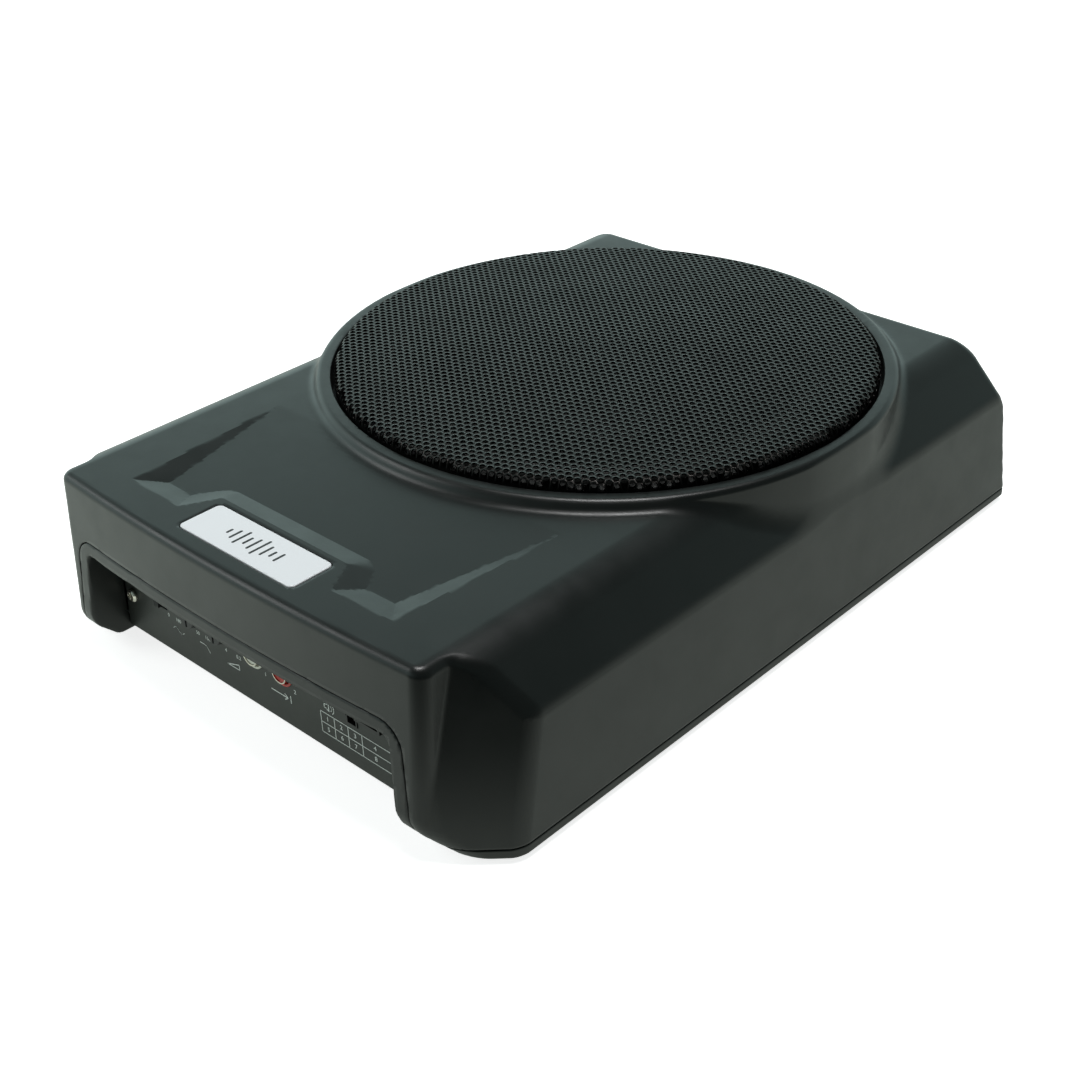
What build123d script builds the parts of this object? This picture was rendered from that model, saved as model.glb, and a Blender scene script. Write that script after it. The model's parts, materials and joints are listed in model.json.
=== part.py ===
from build123d import *
import math
import os

# Powered under-seat car subwoofer: a shallow plastic cabinet in two shells, a slim
# woofer under a round perforated grille, and a built-in amplifier whose controls
# and sockets sit in a recess at the front.
# Frame: millimetres, +Z up, +X right, +Y to the back; the control panel faces -Y.
# Origin: centre of the footprint, on the floor the rubber feet stand on. The sizes below
# are measured from the middle of the seam outline; CENTRING moves the finished pieces back.

# ---------------------------------------------------------------- driving sizes
BODY_WIDTH = 260.0        # across the side walls at the seam
BODY_LENGTH = 354.0       # front wall to back wall at the seam
SEAM_Z = 6.6              # lower edge of the top shell
PLATEAU_Z = 80.0          # flat top of the cabinet
SIDE_TOP_Z = 57.0         # crisp edge where the side wall meets the shoulder
SIDE_DRAFT = 2.0          # each side wall leans in by this much up to its top edge
SHOULDER_RADIUS = 20.0    # soft bend from the flat top into the shoulder
SHOULDER_ANGLE = 51.0     # slope of the shoulder in degrees
FRONT_DRAFT = 4.5         # front wall leans back by this much over the full height
BACK_DRAFT = 11.4         # back wall leans forward by this much over the full height
FRONT_BOW = 4.2           # the nose's front bulges forward by this much at its middle
CENTRING = FRONT_BOW / 2  # puts the origin back at the middle of the whole length
WALL = 2.6                # moulding thickness of both shells

NOSE_HALF_WIDTH = 105.5   # half width of the nose between the two front scoops
SCOOP_SLOPE_XY = 0.958    # scoop face: y gained per mm of x
SCOOP_SLOPE_Z = 0.258     # scoop face: y gained per mm of height

RING_OUTER_RADIUS = 127.6
RING_TOP_Z = 84.6
WELL_RADIUS = 121.0       # well that holds the grille
BAFFLE_TOP_Z = 74.0
BAFFLE_THICKNESS = 3.0
DRIVER_OPENING_RADIUS = 104.5
DRIVER_Y = 41.4           # centre of the woofer, measured from the cabinet's centre

FRAME_HALF_WIDTH = 95.0   # outside of the recess frame, at its top
FRAME_TOP_Z = 54.0
FRAME_CORNER_RADIUS = 10.0
OPENING_HALF_WIDTH = 89.6 # at its top
OPENING_TOP_Z = 48.4
OPENING_CORNER_RADIUS = 3.5
LEG_SPLAY = 0.09          # the frame and its opening widen by this much per mm downwards, each side
SLOPE_TOP_Z = 13.0        # the lower front edge slopes back below this height, at 45 degrees
PANEL_FACE_Y = -160.0     # outer face of the control panel
PANEL_THICKNESS = 2.0
PANEL_BOTTOM_Z = 4.7

FLOOR_BOTTOM_Z = 1.5      # underside of the tray, above the rubber feet
FLOOR_TOP_Z = 4.0
SEAM_GAP = 0.6            # shadow gap between the two shells
GLUE_GAP = 0.05           # clearance left between parts that touch
CONE_TRAVEL = 5.0         # each way

CONTROL_Z = 29.0          # height of the pots and sockets
PHASE_X = -66.0
PHASE_Z = 26.4
LOW_PASS_X = -46.5
GAIN_X = -29.0
SOCKET_XS = (-6.0, 11.5)
CONNECTOR_X = 57.6
CONNECTOR_Z = 33.2
PANEL_SCREW_X = 86.0
PANEL_SCREW_Z = 22.2

BOARD_Z = 14.0
BOARD_THICKNESS = 1.6
BOARD_TOP_Z = BOARD_Z + BOARD_THICKNESS

# ------------------------------------------------------------- derived places
HALF_WIDTH = BODY_WIDTH / 2
HALF_LENGTH = BODY_LENGTH / 2
HEIGHT_ABOVE_SEAM = PLATEAU_Z - SEAM_Z
INSIDE_PANEL_Y = PANEL_FACE_Y + PANEL_THICKNESS
FAR = 400.0               # reach of cutting tools, well past the cabinet

CASE_SCREW_PLACES = [(side * 118.5, y) for side in (-1, 1) for y in (-105.0, 30.0, 150.0)]
INSERT_PLACES = [(side * 100.0, y) for side in (-1, 1) for y in (-60.0, 120.0)]
FOOT_PLACES = [(side * 104.0, y) for side in (-1, 1) for y in (-135.0, 155.0)]
STANDOFF_PLACES = [(side * 82.0, y) for side in (-1, 1) for y in (-140.0, -88.0)]


# ------------------------------------------------------------- small helpers
def prism(points, direction):
    """Solid made by pushing a closed polygon of 3-D points along a direction."""
    outline = Wire(Polyline(*points, close=True).edges())
    return Solid.extrude(Face(outline), Vector(*direction))


def box(x0, x1, y0, y1, z0, z1):
    """Box between two corners."""
    centre = Pos((x0 + x1) / 2, (y0 + y1) / 2, (z0 + z1) / 2)
    return centre * Box(x1 - x0, y1 - y0, z1 - z0)


def rod_z(x, y, radius, z0, z1):
    """Upright round rod."""
    return Pos(x, y, (z0 + z1) / 2) * Cylinder(radius, z1 - z0)


def rod_y(x, z, radius, y0, y1):
    """Round rod that runs front to back."""
    return Pos(x, (y0 + y1) / 2, z) * Rot(90, 0, 0) * Cylinder(radius, y1 - y0)


def tube_z(inner, outer, z0, z1, y=DRIVER_Y):
    """Upright tube, on the woofer's axis unless told otherwise."""
    return rod_z(0, y, outer, z0, z1) - rod_z(0, y, inner, z0 - 1, z1 + 1)


def spun(points):
    """Solid spun round the woofer's axis from (radius, z) points."""
    outline = Wire(Polyline(*[(r, 0, z) for r, z in points], close=True).edges())
    return Pos(0, DRIVER_Y, 0) * revolve(Face(outline), axis=Axis.Z)


def around(radius, count, start=0.0):
    """Evenly spaced (x, y) places on a circle round the woofer's axis."""
    turns = [math.radians(start + 360.0 * i / count) for i in range(count)]
    return [(radius * math.cos(a), DRIVER_Y + radius * math.sin(a)) for a in turns]


def fused(solids):
    """One shape from many overlapping solids."""
    first, *rest = solids
    return first.fuse(*rest) if rest else first


def group(solids):
    """Several separate solids kept together as one node."""
    pieces = [piece for solid in solids for piece in solid.solids()]
    return Compound(children=pieces)


# ------------------------------------------------------------- cabinet shape
def cross_section(inset):
    """Half outline of the cabinet seen from the front, as (x, z) points."""
    bend = math.radians(SHOULDER_ANGLE)
    top_x = HALF_WIDTH - SIDE_DRAFT
    run = (PLATEAU_Z - SIDE_TOP_Z - SHOULDER_RADIUS * (1 - math.cos(bend))) / math.tan(bend)
    flat_x = top_x - run - SHOULDER_RADIUS * math.sin(bend)
    radius = SHOULDER_RADIUS - inset
    steps = 6
    arc = [bend * i / steps for i in range(steps + 1)]
    crown_z = PLATEAU_Z - SHOULDER_RADIUS
    shoulder = [(flat_x + radius * math.sin(a), crown_z + radius * math.cos(a)) for a in arc]
    corner_shift = inset * math.tan(math.radians(90 - SHOULDER_ANGLE) / 2)
    wall_top = (top_x - inset, SIDE_TOP_Z - corner_shift)
    skirt = 40.0
    lean = SIDE_DRAFT * skirt / (SIDE_TOP_Z - SEAM_Z)
    wall_foot = (HALF_WIDTH + lean - inset, SEAM_Z - skirt)
    return shoulder + [wall_top, wall_foot]


def cabinet_block(inset, foot_z):
    """Solid cabinet shape, pulled in by inset on every side, cut off at foot_z."""
    right = cross_section(inset)
    left = [(-x, z) for x, z in reversed(right)]
    section = [(x, -FAR, z) for x, z in right + left]
    block = prism(section, (0, 2 * FAR, 0))

    top = PLATEAU_Z + 20
    rise = (top - SEAM_Z) / HEIGHT_ABOVE_SEAM
    back_foot = HALF_LENGTH - inset
    drop = (SEAM_Z - foot_z) / HEIGHT_ABOVE_SEAM
    side_view = [
        (-FAR, -HALF_LENGTH - 20, foot_z),
        (-FAR, -HALF_LENGTH - 20, top),
        (-FAR, back_foot - BACK_DRAFT * rise, top),
        (-FAR, back_foot + BACK_DRAFT * drop, foot_z),
    ]
    block = block & prism(side_view, (2 * FAR, 0, 0)) - front_tool(inset)
    for side in (-1, 1):
        block = block - scoop_tool(side, inset)
    return block - slope_tool(inset)


def front_tool(inset):
    """Tool that gives the front wall its lean and its gentle forward bow."""
    low_z = -60.0
    high_z = PLATEAU_Z + 60
    y = -HALF_LENGTH + inset + FRONT_DRAFT * (low_z - SEAM_Z) / HEIGHT_ABOVE_SEAM
    nose = NOSE_HALF_WIDTH
    bow = ThreePointArc((-nose, y, low_z), (0, y - FRONT_BOW, low_z), (nose, y, low_z))
    rest = Polyline((nose, y, low_z), (FAR, y, low_z), (FAR, -FAR, low_z), (-FAR, -FAR, low_z),
                    (-FAR, y, low_z), (-nose, y, low_z))
    lean = FRONT_DRAFT * (high_z - low_z) / HEIGHT_ABOVE_SEAM
    outline = Wire(bow.edges() + rest.edges())
    return Solid.extrude(Face(outline), Vector(0, lean, high_z - low_z))


def scoop_tool(side, inset):
    """Tool that cuts the slanting face at one front corner, beside the nose."""
    nose_x = NOSE_HALF_WIDTH - inset
    shift = inset * math.sqrt(1 + SCOOP_SLOPE_XY ** 2 + SCOOP_SLOPE_Z ** 2)

    def face_y(x, z):
        start = -HALF_LENGTH + shift
        return start + SCOOP_SLOPE_XY * (x - NOSE_HALF_WIDTH) + SCOOP_SLOPE_Z * (z - SEAM_Z)

    def slice_at(z):
        corners = [
            (side * nose_x, face_y(nose_x, z), z),
            (side * FAR, face_y(FAR, z), z),
            (side * FAR, -FAR, z),
            (side * nose_x, -FAR, z),
        ]
        return Wire(Polyline(*corners, close=True).edges())

    return Solid.make_loft([slice_at(-60.0), slice_at(PLATEAU_Z + 60)], ruled=True)


def slope_tool(inset):
    """Tool for the sloping lower front edge; the slope moves inwards by inset."""
    y = -HALF_LENGTH + inset * math.sqrt(2)
    z = SLOPE_TOP_Z
    reach = 60.0
    return prism([(-FAR, y - reach, z + reach), (-FAR, y + reach, z - reach), (-FAR, y - reach, z - reach)],
                 (2 * FAR, 0, 0))


def arch(half_width, top_z, corner_radius, y0, y1, foot_z=-20.0):
    """Doorway-shaped block for the recess frame and its opening, a little wider at its foot."""
    foot = half_width + LEG_SPLAY * (top_z - foot_z)
    outline = Polygon((-foot, foot_z), (foot, foot_z), (half_width, top_z), (-half_width, top_z),
                      align=None)
    outline = fillet(outline.vertices().group_by(Axis.Y)[-1], radius=corner_radius)
    return Pos(0, y1, 0) * extrude(Plane.XZ * outline, amount=y1 - y0)


# ------------------------------------------------------------- cabinet pieces
POCKET_CORNERS = [(82.0, -70.0), (75.5, -157.0), (45.0, -158.2), (36.7, -142.8)]
POCKET_DEPTH = 2.5
BADGE_WIDTH = 66.4
BADGE_LENGTH = 20.4
BADGE_Y = -156.6
BADGE_RECESS_DEPTH = 1.4
BADGE_CORNER_RADIUS = 2.5


def badge_block(grow, z0, z1):
    """Rounded plate outline of the badge, grown by a margin."""
    outline = Pos(0, BADGE_Y, z0) * RectangleRounded(
        BADGE_WIDTH + 2 * grow, BADGE_LENGTH + 2 * grow, BADGE_CORNER_RADIUS)
    return extrude(outline, amount=z1 - z0)


def pocket_tool():
    """Arrow-shaped shallow pocket in the flat top, between the badge and the ring."""
    right = POCKET_CORNERS
    left = [(-x, y) for x, y in reversed(right)]
    floor_z = PLATEAU_Z - POCKET_DEPTH
    return prism([(x, y, floor_z) for x, y in right + left], (0, 0, 10))


def top_shell():
    """Upper moulding with the raised ring, the grille well and the woofer baffle."""
    ring = rod_z(0, DRIVER_Y, RING_OUTER_RADIUS, 40.0, RING_TOP_Z)
    outside = cabinet_block(0, SEAM_Z) - pocket_tool() + ring
    outside = outside - badge_block(0.4, PLATEAU_Z - BADGE_RECESS_DEPTH, PLATEAU_Z + 5)

    baffle_foot_z = BAFFLE_TOP_Z - BAFFLE_THICKNESS
    hollow = cabinet_block(WALL, SEAM_Z - 5)
    hollow = hollow - rod_z(0, DRIVER_Y, RING_OUTER_RADIUS, baffle_foot_z, FAR)
    hollow = hollow - box(-95, 95, -FAR, -60, PLATEAU_Z - POCKET_DEPTH - WALL, FAR)
    hollow = hollow + rod_z(0, DRIVER_Y, RING_OUTER_RADIUS - WALL, 40.0, baffle_foot_z)
    shell = outside - hollow
    shell = shell - rod_z(0, DRIVER_Y, WELL_RADIUS, BAFFLE_TOP_Z, FAR)
    shell = shell - rod_z(0, DRIVER_Y, DRIVER_OPENING_RADIUS, 0, FAR)

    bosses = [rod_z(x, y, 5.0, SEAM_Z + 4, 75.0) for x, y in CASE_SCREW_PLACES]
    shell = shell + (fused(bosses) & cabinet_block(0.5, SEAM_Z))
    for x, y in CASE_SCREW_PLACES:
        shell = shell - rod_z(x, y, CASE_SCREW_RADIUS + GLUE_GAP, 0, CASE_SCREW_TOP_Z + 1)
    for x, y in around(DRIVER_SCREW_CIRCLE, 8, 22.5):
        shell = shell - rod_z(x, y, DRIVER_SCREW_RADIUS + GLUE_GAP, 60, 90)

    cut = arch(FRAME_HALF_WIDTH + SEAM_GAP, FRAME_TOP_Z + SEAM_GAP,
               FRAME_CORNER_RADIUS + SEAM_GAP, -FAR, PANEL_FACE_Y)
    return shell - cut


def footprint(inset, z0, z1):
    """Block with the cabinet's plan outline at the seam, pulled in by inset."""
    nose = NOSE_HALF_WIDTH - inset * 0.4
    scoop_end = -HALF_LENGTH + SCOOP_SLOPE_XY * (HALF_WIDTH - NOSE_HALF_WIDTH) + inset * 0.4
    side = HALF_WIDTH - inset
    right = [(nose, -HALF_LENGTH + inset), (side, scoop_end), (side, HALF_LENGTH - inset)]
    left = [(-x, y) for x, y in reversed(right)]
    return prism([(x, y, z0) for x, y in right + left], (0, 0, z1 - z0))


CASE_SCREW_RADIUS = 1.75
CASE_SCREW_TOP_Z = 22.0
DRIVER_SCREW_RADIUS = 2.0
DRIVER_SCREW_CIRCLE = 111.0
INSERT_RADIUS = 3.2
INSERT_THREAD_RADIUS = 2.1
INSERT_TOP_Z = 10.0
LIP_FRONT_Y = -158.0      # the seam lip and its foam stop here, behind the sloping front edge


def bottom_shell():
    """Lower tray with the recess frame, board standoffs and bracket bosses."""
    rim_top = SEAM_Z - SEAM_GAP
    tray = footprint(0, FLOOR_BOTTOM_Z, rim_top)
    lower_edges = tray.faces().sort_by(Axis.Z)[0].edges()
    tray = chamfer(lower_edges, 1.4)
    tray = tray - (footprint(WALL + 3.4, FLOOR_TOP_Z, 20) - slope_tool(WALL + 3.4))
    lip = footprint(WALL + 1.0, rim_top - 1, SEAM_Z + 3.0) - footprint(WALL + 3.0, 0, 20)
    tray = tray + (lip & box(-FAR, FAR, LIP_FRONT_Y, FAR, 0, 20))
    tray = tray - box(-FRAME_HALF_WIDTH, FRAME_HALF_WIDTH, -FAR, -162.5, -5, 20) - slope_tool(0)

    block = cabinet_block(0, FLOOR_BOTTOM_Z)
    face = arch(FRAME_HALF_WIDTH, FRAME_TOP_Z, FRAME_CORNER_RADIUS, -FAR, -166.0)
    tunnel = arch(OPENING_HALF_WIDTH + 2.4, OPENING_TOP_Z + 2.4, OPENING_CORNER_RADIUS + 2.4,
                  -FAR, INSIDE_PANEL_Y)
    cheeks = arch(OPENING_HALF_WIDTH + 2.4, PANEL_SCREW_Z + 6, 1.0, -159.0, -150.0)
    frame = (face + tunnel + cheeks) & block
    opening = arch(OPENING_HALF_WIDTH, OPENING_TOP_Z, OPENING_CORNER_RADIUS, -FAR, INSIDE_PANEL_Y)
    inside = box(-82, 82, -163, -140, -5, 60)
    frame = frame - opening - inside

    shell = tray + frame
    posts = [rod_z(x, y, 4.0, FLOOR_TOP_Z - 1, BOARD_Z - GLUE_GAP) for x, y in STANDOFF_PLACES]
    posts += [rod_z(x, y, 6.0, FLOOR_BOTTOM_Z, INSERT_TOP_Z) for x, y in INSERT_PLACES]
    posts += [rod_z(x, y, 4.6, FLOOR_BOTTOM_Z, SEAM_Z + 3.9) for x, y in CASE_SCREW_PLACES]
    shell = shell + fused(posts)

    for x, y in STANDOFF_PLACES:
        shell = shell - rod_z(x, y, 1.5 + GLUE_GAP, FLOOR_TOP_Z, 20)
    for x, y in INSERT_PLACES:
        shell = shell - rod_z(x, y, INSERT_RADIUS + GLUE_GAP, 0, INSERT_TOP_Z - 1.2)
    for x, y in CASE_SCREW_PLACES:
        shell = shell - rod_z(x, y, CASE_SCREW_RADIUS + GLUE_GAP, 0, 20)
        shell = shell - rod_z(x, y, 3.7, 0, 4.0 + GLUE_GAP)
    for side in (-1, 1):
        shell = shell - rod_y(side * PANEL_SCREW_X, PANEL_SCREW_Z, 1.5 + GLUE_GAP,
                              INSIDE_PANEL_Y - 1, -140)
    return shell


def case_seal():
    """Foam strip that closes the joint inside the seam."""
    outer = footprint(WALL + 3.1, SEAM_Z + 0.5, SEAM_Z + 2.5)
    strip = outer - footprint(WALL + 5.1, 0, 20)
    strip = strip - box(-99, 99, -FAR, -150, 0, 20) - box(-FAR, FAR, -FAR, LIP_FRONT_Y, 0, 20)
    for x, y in CASE_SCREW_PLACES:
        strip = strip - rod_z(x, y, 5.2, 0, 30)
    return strip


def case_screws():
    """Six screws driven up through the tray into the top shell."""
    def screw(x, y):
        head = rod_z(x, y, 3.5, 2.0, 4.0)
        shank = rod_z(x, y, CASE_SCREW_RADIUS, 4.0, CASE_SCREW_TOP_Z)
        drive = box(x - 2, x + 2, y - 0.5, y + 0.5, 1.5, 3.0)
        cross = box(x - 0.5, x + 0.5, y - 2, y + 2, 1.5, 3.0)
        return head + shank - drive - cross
    return group([screw(x, y) for x, y in CASE_SCREW_PLACES])


def bracket_inserts():
    """Four threaded brass inserts for the under-seat brackets."""
    return group([
        rod_z(x, y, INSERT_RADIUS, FLOOR_BOTTOM_Z, INSERT_TOP_Z - 1.25)
        - rod_z(x, y, INSERT_THREAD_RADIUS, 0, INSERT_TOP_Z - 2.5)
        for x, y in INSERT_PLACES])


def rubber_feet():
    """Four round feet stuck under the tray."""
    feet = []
    for x, y in FOOT_PLACES:
        foot = rod_z(x, y, 9.0, 0, FLOOR_BOTTOM_Z - GLUE_GAP)
        feet.append(chamfer(foot.faces().sort_by(Axis.Z)[0].edges(), 0.5))
    return group(feet)


def badge_plate():
    """Bright metal plate let into the flat top; it carries no mark."""
    seat_z = PLATEAU_Z - BADGE_RECESS_DEPTH + GLUE_GAP
    plate = badge_block(0, seat_z, PLATEAU_Z + 0.2)
    return chamfer(plate.faces().sort_by(Axis.Z)[-1].edges(), 0.25)


# ------------------------------------------------------------- grille
GRILLE_RADIUS = 119.6
GRILLE_SHEET = 0.9
GRILLE_RIM_Z = 88.4
GRILLE_DOME_Z = 90.4
GRILLE_ROLL = 3.6


def grille():
    """Shallow domed pan of perforated steel, pressed into the ring."""
    def outline(inset):
        roll = GRILLE_ROLL - inset
        centre_r = GRILLE_RADIUS - GRILLE_ROLL
        centre_z = GRILLE_RIM_Z - GRILLE_ROLL
        turns = [math.radians(a) for a in (0, 20, 40, 60, 80)]
        rolled = [(centre_r + roll * math.cos(a), centre_z + roll * math.sin(a)) for a in turns]
        crown = GRILLE_DOME_Z - inset
        rim = GRILLE_RIM_Z - inset
        spans = [0.95, 0.8, 0.6, 0.4, 0.2]
        dome = [(centre_r * s, rim + (crown - rim) * (1 - s * s)) for s in spans]
        return rolled + dome + [(0.0, crown)]
    foot_z = BAFFLE_TOP_Z + 5.4
    outer = [(GRILLE_RADIUS, foot_z)] + outline(0)
    inner = outline(GRILLE_SHEET)[::-1] + [(GRILLE_RADIUS - GRILLE_SHEET, foot_z)]
    return spun(outer + inner)


# ------------------------------------------------------------- woofer
FLANGE_Z0 = BAFFLE_TOP_Z + 0.9
FLANGE_Z1 = FLANGE_Z0 + 2.2
FLANGE_OUTER_RADIUS = 118.0
FLANGE_INNER_RADIUS = 101.5
SPIDER_LAND_Z = 46.0
BASKET_FLOOR_Z = 34.0
TOP_PLATE_Z0 = 29.0
MAGNET_Z0 = 15.0
YOKE_Z0 = 9.0
POLE_RADIUS = 18.3
FORMER_INNER = 19.0
FORMER_OUTER = 19.35
COIL_OUTER = 20.05
CONE_RIM_RADIUS = 84.0
CONE_RIM_Z = FLANGE_Z1
CONE_NECK_Z = 55.0
SURROUND_OUTER = 107.4
SURROUND_ROLL_OUTER = 103.6
SURROUND_HEIGHT = 7.0


def basket():
    """Pressed-steel chassis: flange, six spokes, spider land and floor ring."""
    sheet = 2.0
    wall_top = 103.4
    body = spun([
        (22.0, BASKET_FLOOR_Z + GLUE_GAP), (50.0, BASKET_FLOOR_Z + GLUE_GAP),
        (54.0, SPIDER_LAND_Z - sheet), (66.0, SPIDER_LAND_Z - sheet),
        (wall_top, FLANGE_Z0 - 2), (wall_top, FLANGE_Z0), (FLANGE_OUTER_RADIUS, FLANGE_Z0),
        (FLANGE_OUTER_RADIUS, FLANGE_Z1), (FLANGE_INNER_RADIUS, FLANGE_Z1),
        (FLANGE_INNER_RADIUS, FLANGE_Z0 - 1.2), (64.5, SPIDER_LAND_Z), (52.5, SPIDER_LAND_Z),
        (48.8, BASKET_FLOOR_Z + sheet), (22.0, BASKET_FLOOR_Z + sheet)])
    ring_cut = tube_z(70.0, 98.0, SPIDER_LAND_Z + 1.5, FLANGE_Z0 - 3.0)
    for x, y in around(84.0, 6, 30.0):
        angle = math.degrees(math.atan2(y - DRIVER_Y, x))
        spoke = Pos(x, y, 60) * Rot(0, 0, angle) * Box(40, 16, 60)
        ring_cut = ring_cut - spoke
    body = body - ring_cut
    shelf = box(-15, 15, DRIVER_Y - 104, DRIVER_Y - 83, 57.5, 59.5)
    body = body + shelf
    for x, y in around(DRIVER_SCREW_CIRCLE, 8, 22.5):
        body = body - rod_z(x, y, DRIVER_SCREW_RADIUS + 0.4, FLANGE_Z0 - 1, FLANGE_Z1 + 1)
    return body


def driver_gasket():
    """Foam ring between the woofer's flange and the baffle."""
    ring = tube_z(106.0, FLANGE_OUTER_RADIUS, BAFFLE_TOP_Z + GLUE_GAP, FLANGE_Z0 - GLUE_GAP)
    for x, y in around(DRIVER_SCREW_CIRCLE, 8, 22.5):
        ring = ring - rod_z(x, y, DRIVER_SCREW_RADIUS + 0.6, 60, 90)
    return ring


def driver_screws():
    """Eight pan-head screws that hold the woofer down."""
    def screw(x, y):
        head_z = FLANGE_Z1 + GLUE_GAP
        head = chamfer(rod_z(x, y, 3.3, head_z, head_z + 2).faces().sort_by(Axis.Z)[-1].edges(), 0.8)
        shank = rod_z(x, y, DRIVER_SCREW_RADIUS, BAFFLE_TOP_Z - 8, head_z)
        slot_a = box(x - 1.8, x + 1.8, y - 0.4, y + 0.4, head_z + 1, head_z + 3)
        slot_b = box(x - 0.4, x + 0.4, y - 1.8, y + 1.8, head_z + 1, head_z + 3)
        return head + shank - slot_a - slot_b
    return group([screw(x, y) for x, y in around(DRIVER_SCREW_CIRCLE, 8, 22.5)])


def surround():
    """Half-roll rubber edge between the flange and the cone."""
    thickness = 1.0
    z0 = FLANGE_Z1 + GLUE_GAP
    inner_foot = CONE_RIM_RADIUS - 3.5
    roll_inner = CONE_RIM_RADIUS + 0.4
    middle = (roll_inner + SURROUND_ROLL_OUTER) / 2
    half = (SURROUND_ROLL_OUTER - roll_inner) / 2
    turns = [math.pi * i / 12 for i in range(13)]
    outer = [(middle + half * math.cos(a), z0 + thickness + (SURROUND_HEIGHT - thickness) * math.sin(a))
             for a in turns]
    inner = [(middle + (half - thickness) * math.cos(a), z0 + (SURROUND_HEIGHT - thickness) * math.sin(a))
             for a in reversed(turns)]
    return spun([(SURROUND_OUTER, z0), (SURROUND_OUTER, z0 + thickness)] + outer
                + [(inner_foot, z0 + thickness), (inner_foot, z0)] + inner)


def cone_height(radius):
    """Height of the cone's top face at a radius."""
    share = (radius - FORMER_OUTER) / (CONE_RIM_RADIUS - 4.0 - FORMER_OUTER)
    return CONE_NECK_Z + (CONE_RIM_Z - CONE_NECK_Z) * share


def cone():
    """Moulded cone with a narrow flat rim."""
    neck = FORMER_OUTER + GLUE_GAP
    rim_start = CONE_RIM_RADIUS - 4.0
    skin = 1.3
    return spun([
        (neck, CONE_NECK_Z), (rim_start, CONE_RIM_Z), (CONE_RIM_RADIUS, CONE_RIM_Z),
        (CONE_RIM_RADIUS, CONE_RIM_Z - 1.0), (rim_start + 0.8, CONE_RIM_Z - 1.0),
        (neck, CONE_NECK_Z - skin)])


DUST_CAP_RADIUS = 40.0
DUST_CAP_RISE = 9.0


def dust_cap():
    """Shallow dome over the middle of the cone."""
    foot_z = cone_height(DUST_CAP_RADIUS) + 0.15
    spans = [1.0, 0.85, 0.7, 0.5, 0.25]
    outer = [(DUST_CAP_RADIUS * s, foot_z + 0.8 + DUST_CAP_RISE * (1 - s * s)) for s in spans]
    inner = [(r, z - 0.8) for r, z in outer]
    crown = foot_z + 0.8 + DUST_CAP_RISE
    return spun(outer + [(0.0, crown), (0.0, crown - 0.8)] + inner[::-1])


def voice_coil_former():
    """Thin tube that carries the coil and joins it to the cone."""
    return tube_z(FORMER_INNER, FORMER_OUTER, 24.0, CONE_NECK_Z + 1.0)


def voice_coil():
    """Copper winding round the foot of the former."""
    return tube_z(FORMER_OUTER + GLUE_GAP, COIL_OUTER, 26.0, 37.5)


def spider():
    """Corrugated cloth disc that centres the coil."""
    thickness = 0.7
    inner = FORMER_OUTER + GLUE_GAP
    outer = 63.5
    base = SPIDER_LAND_Z + GLUE_GAP
    waves = 7
    steps = 6 * waves
    flat = 5.0
    lift = 2.2

    def height(r):
        reach = (outer - flat - r) / (outer - flat - inner - 2)
        if reach <= 0 or reach >= 1:
            return 0.0
        return lift * math.sin(math.pi * waves * reach) ** 2

    radii = [inner + (outer - inner) * i / steps for i in range(steps + 1)]
    upper = [(r, base + thickness + height(r)) for r in radii]
    lower = [(r, base + height(r)) for r in reversed(radii)]
    return spun(upper + lower)


def top_plate():
    """Steel ring over the magnet; the coil moves in its bore."""
    return tube_z(20.8, 46.0, TOP_PLATE_Z0 + GLUE_GAP, BASKET_FLOOR_Z)


def magnet():
    """Ferrite ring."""
    ring = tube_z(24.0, 52.0, MAGNET_Z0 + GLUE_GAP, TOP_PLATE_Z0)
    return chamfer(ring.edges().filter_by(GeomType.CIRCLE).sort_by(lambda e: e.radius)[-2:], 1.0)


def yoke():
    """Steel back plate with its vented pole piece."""
    plate = rod_z(0, DRIVER_Y, 46.0, YOKE_Z0, MAGNET_Z0)
    pole = rod_z(0, DRIVER_Y, POLE_RADIUS, YOKE_Z0, BASKET_FLOOR_Z + 0.2)
    return plate + pole - rod_z(0, DRIVER_Y, 6.0, 0, 60)


def terminal_strip():
    """Insulating board with two solder lugs, riveted to the basket's shelf."""
    return box(-13, 13, DRIVER_Y - 103, DRIVER_Y - 91, 59.5 + GLUE_GAP, 61.2)


def terminal_lugs():
    """Two brass solder lugs."""
    lugs = []
    for x in (-7.0, 7.0):
        plate = box(x - 2, x + 2, DRIVER_Y - 106, DRIVER_Y - 92, 61.25, 62.0)
        lugs.append(plate - rod_z(x, DRIVER_Y - 104.5, 0.8, 50, 70))
    return group(lugs)


def wire(points, radius):
    """Round wire along a smooth curve through the points."""
    path = Spline(*points)
    start = Plane(origin=path @ 0, z_dir=path % 0)
    return sweep(start * Circle(radius), path=path)


def tinsel_leads():
    """Two flexible leads from the lugs to the back of the cone."""
    leads = []
    for side in (-1, 1):
        leads.append(wire([
            (side * 7.5, DRIVER_Y - 94.0, 62.8), (side * 12.0, DRIVER_Y - 90.0, 63.4),
            (side * 14.0, DRIVER_Y - 80.0, 61.0), (side * 13.5, DRIVER_Y - 62.0, 57.5),
            (side * 12.0, DRIVER_Y - 46.0, 60.4)], 0.6))
    return group(leads)


def speaker_wire(side):
    """Insulated wire from the board's plug to one solder lug."""
    return wire([
        (SPEAKER_PLUG_X + side * 2.5, -97.0, BOARD_TOP_Z + 7.5),
        (SPEAKER_PLUG_X + side * 2.5, -92.0, BOARD_TOP_Z + 7.5),
        (SPEAKER_PLUG_X - 4 + side * 3, -80.0, 30.0),
        (SPEAKER_PLUG_X * 0.5 + side * 3, -71.0, 50.0),
        (side * 7.0 + 3.0, -67.0, 62.5),
        (side * 7.0, -62.4, 63.4)], 1.1)


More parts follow.
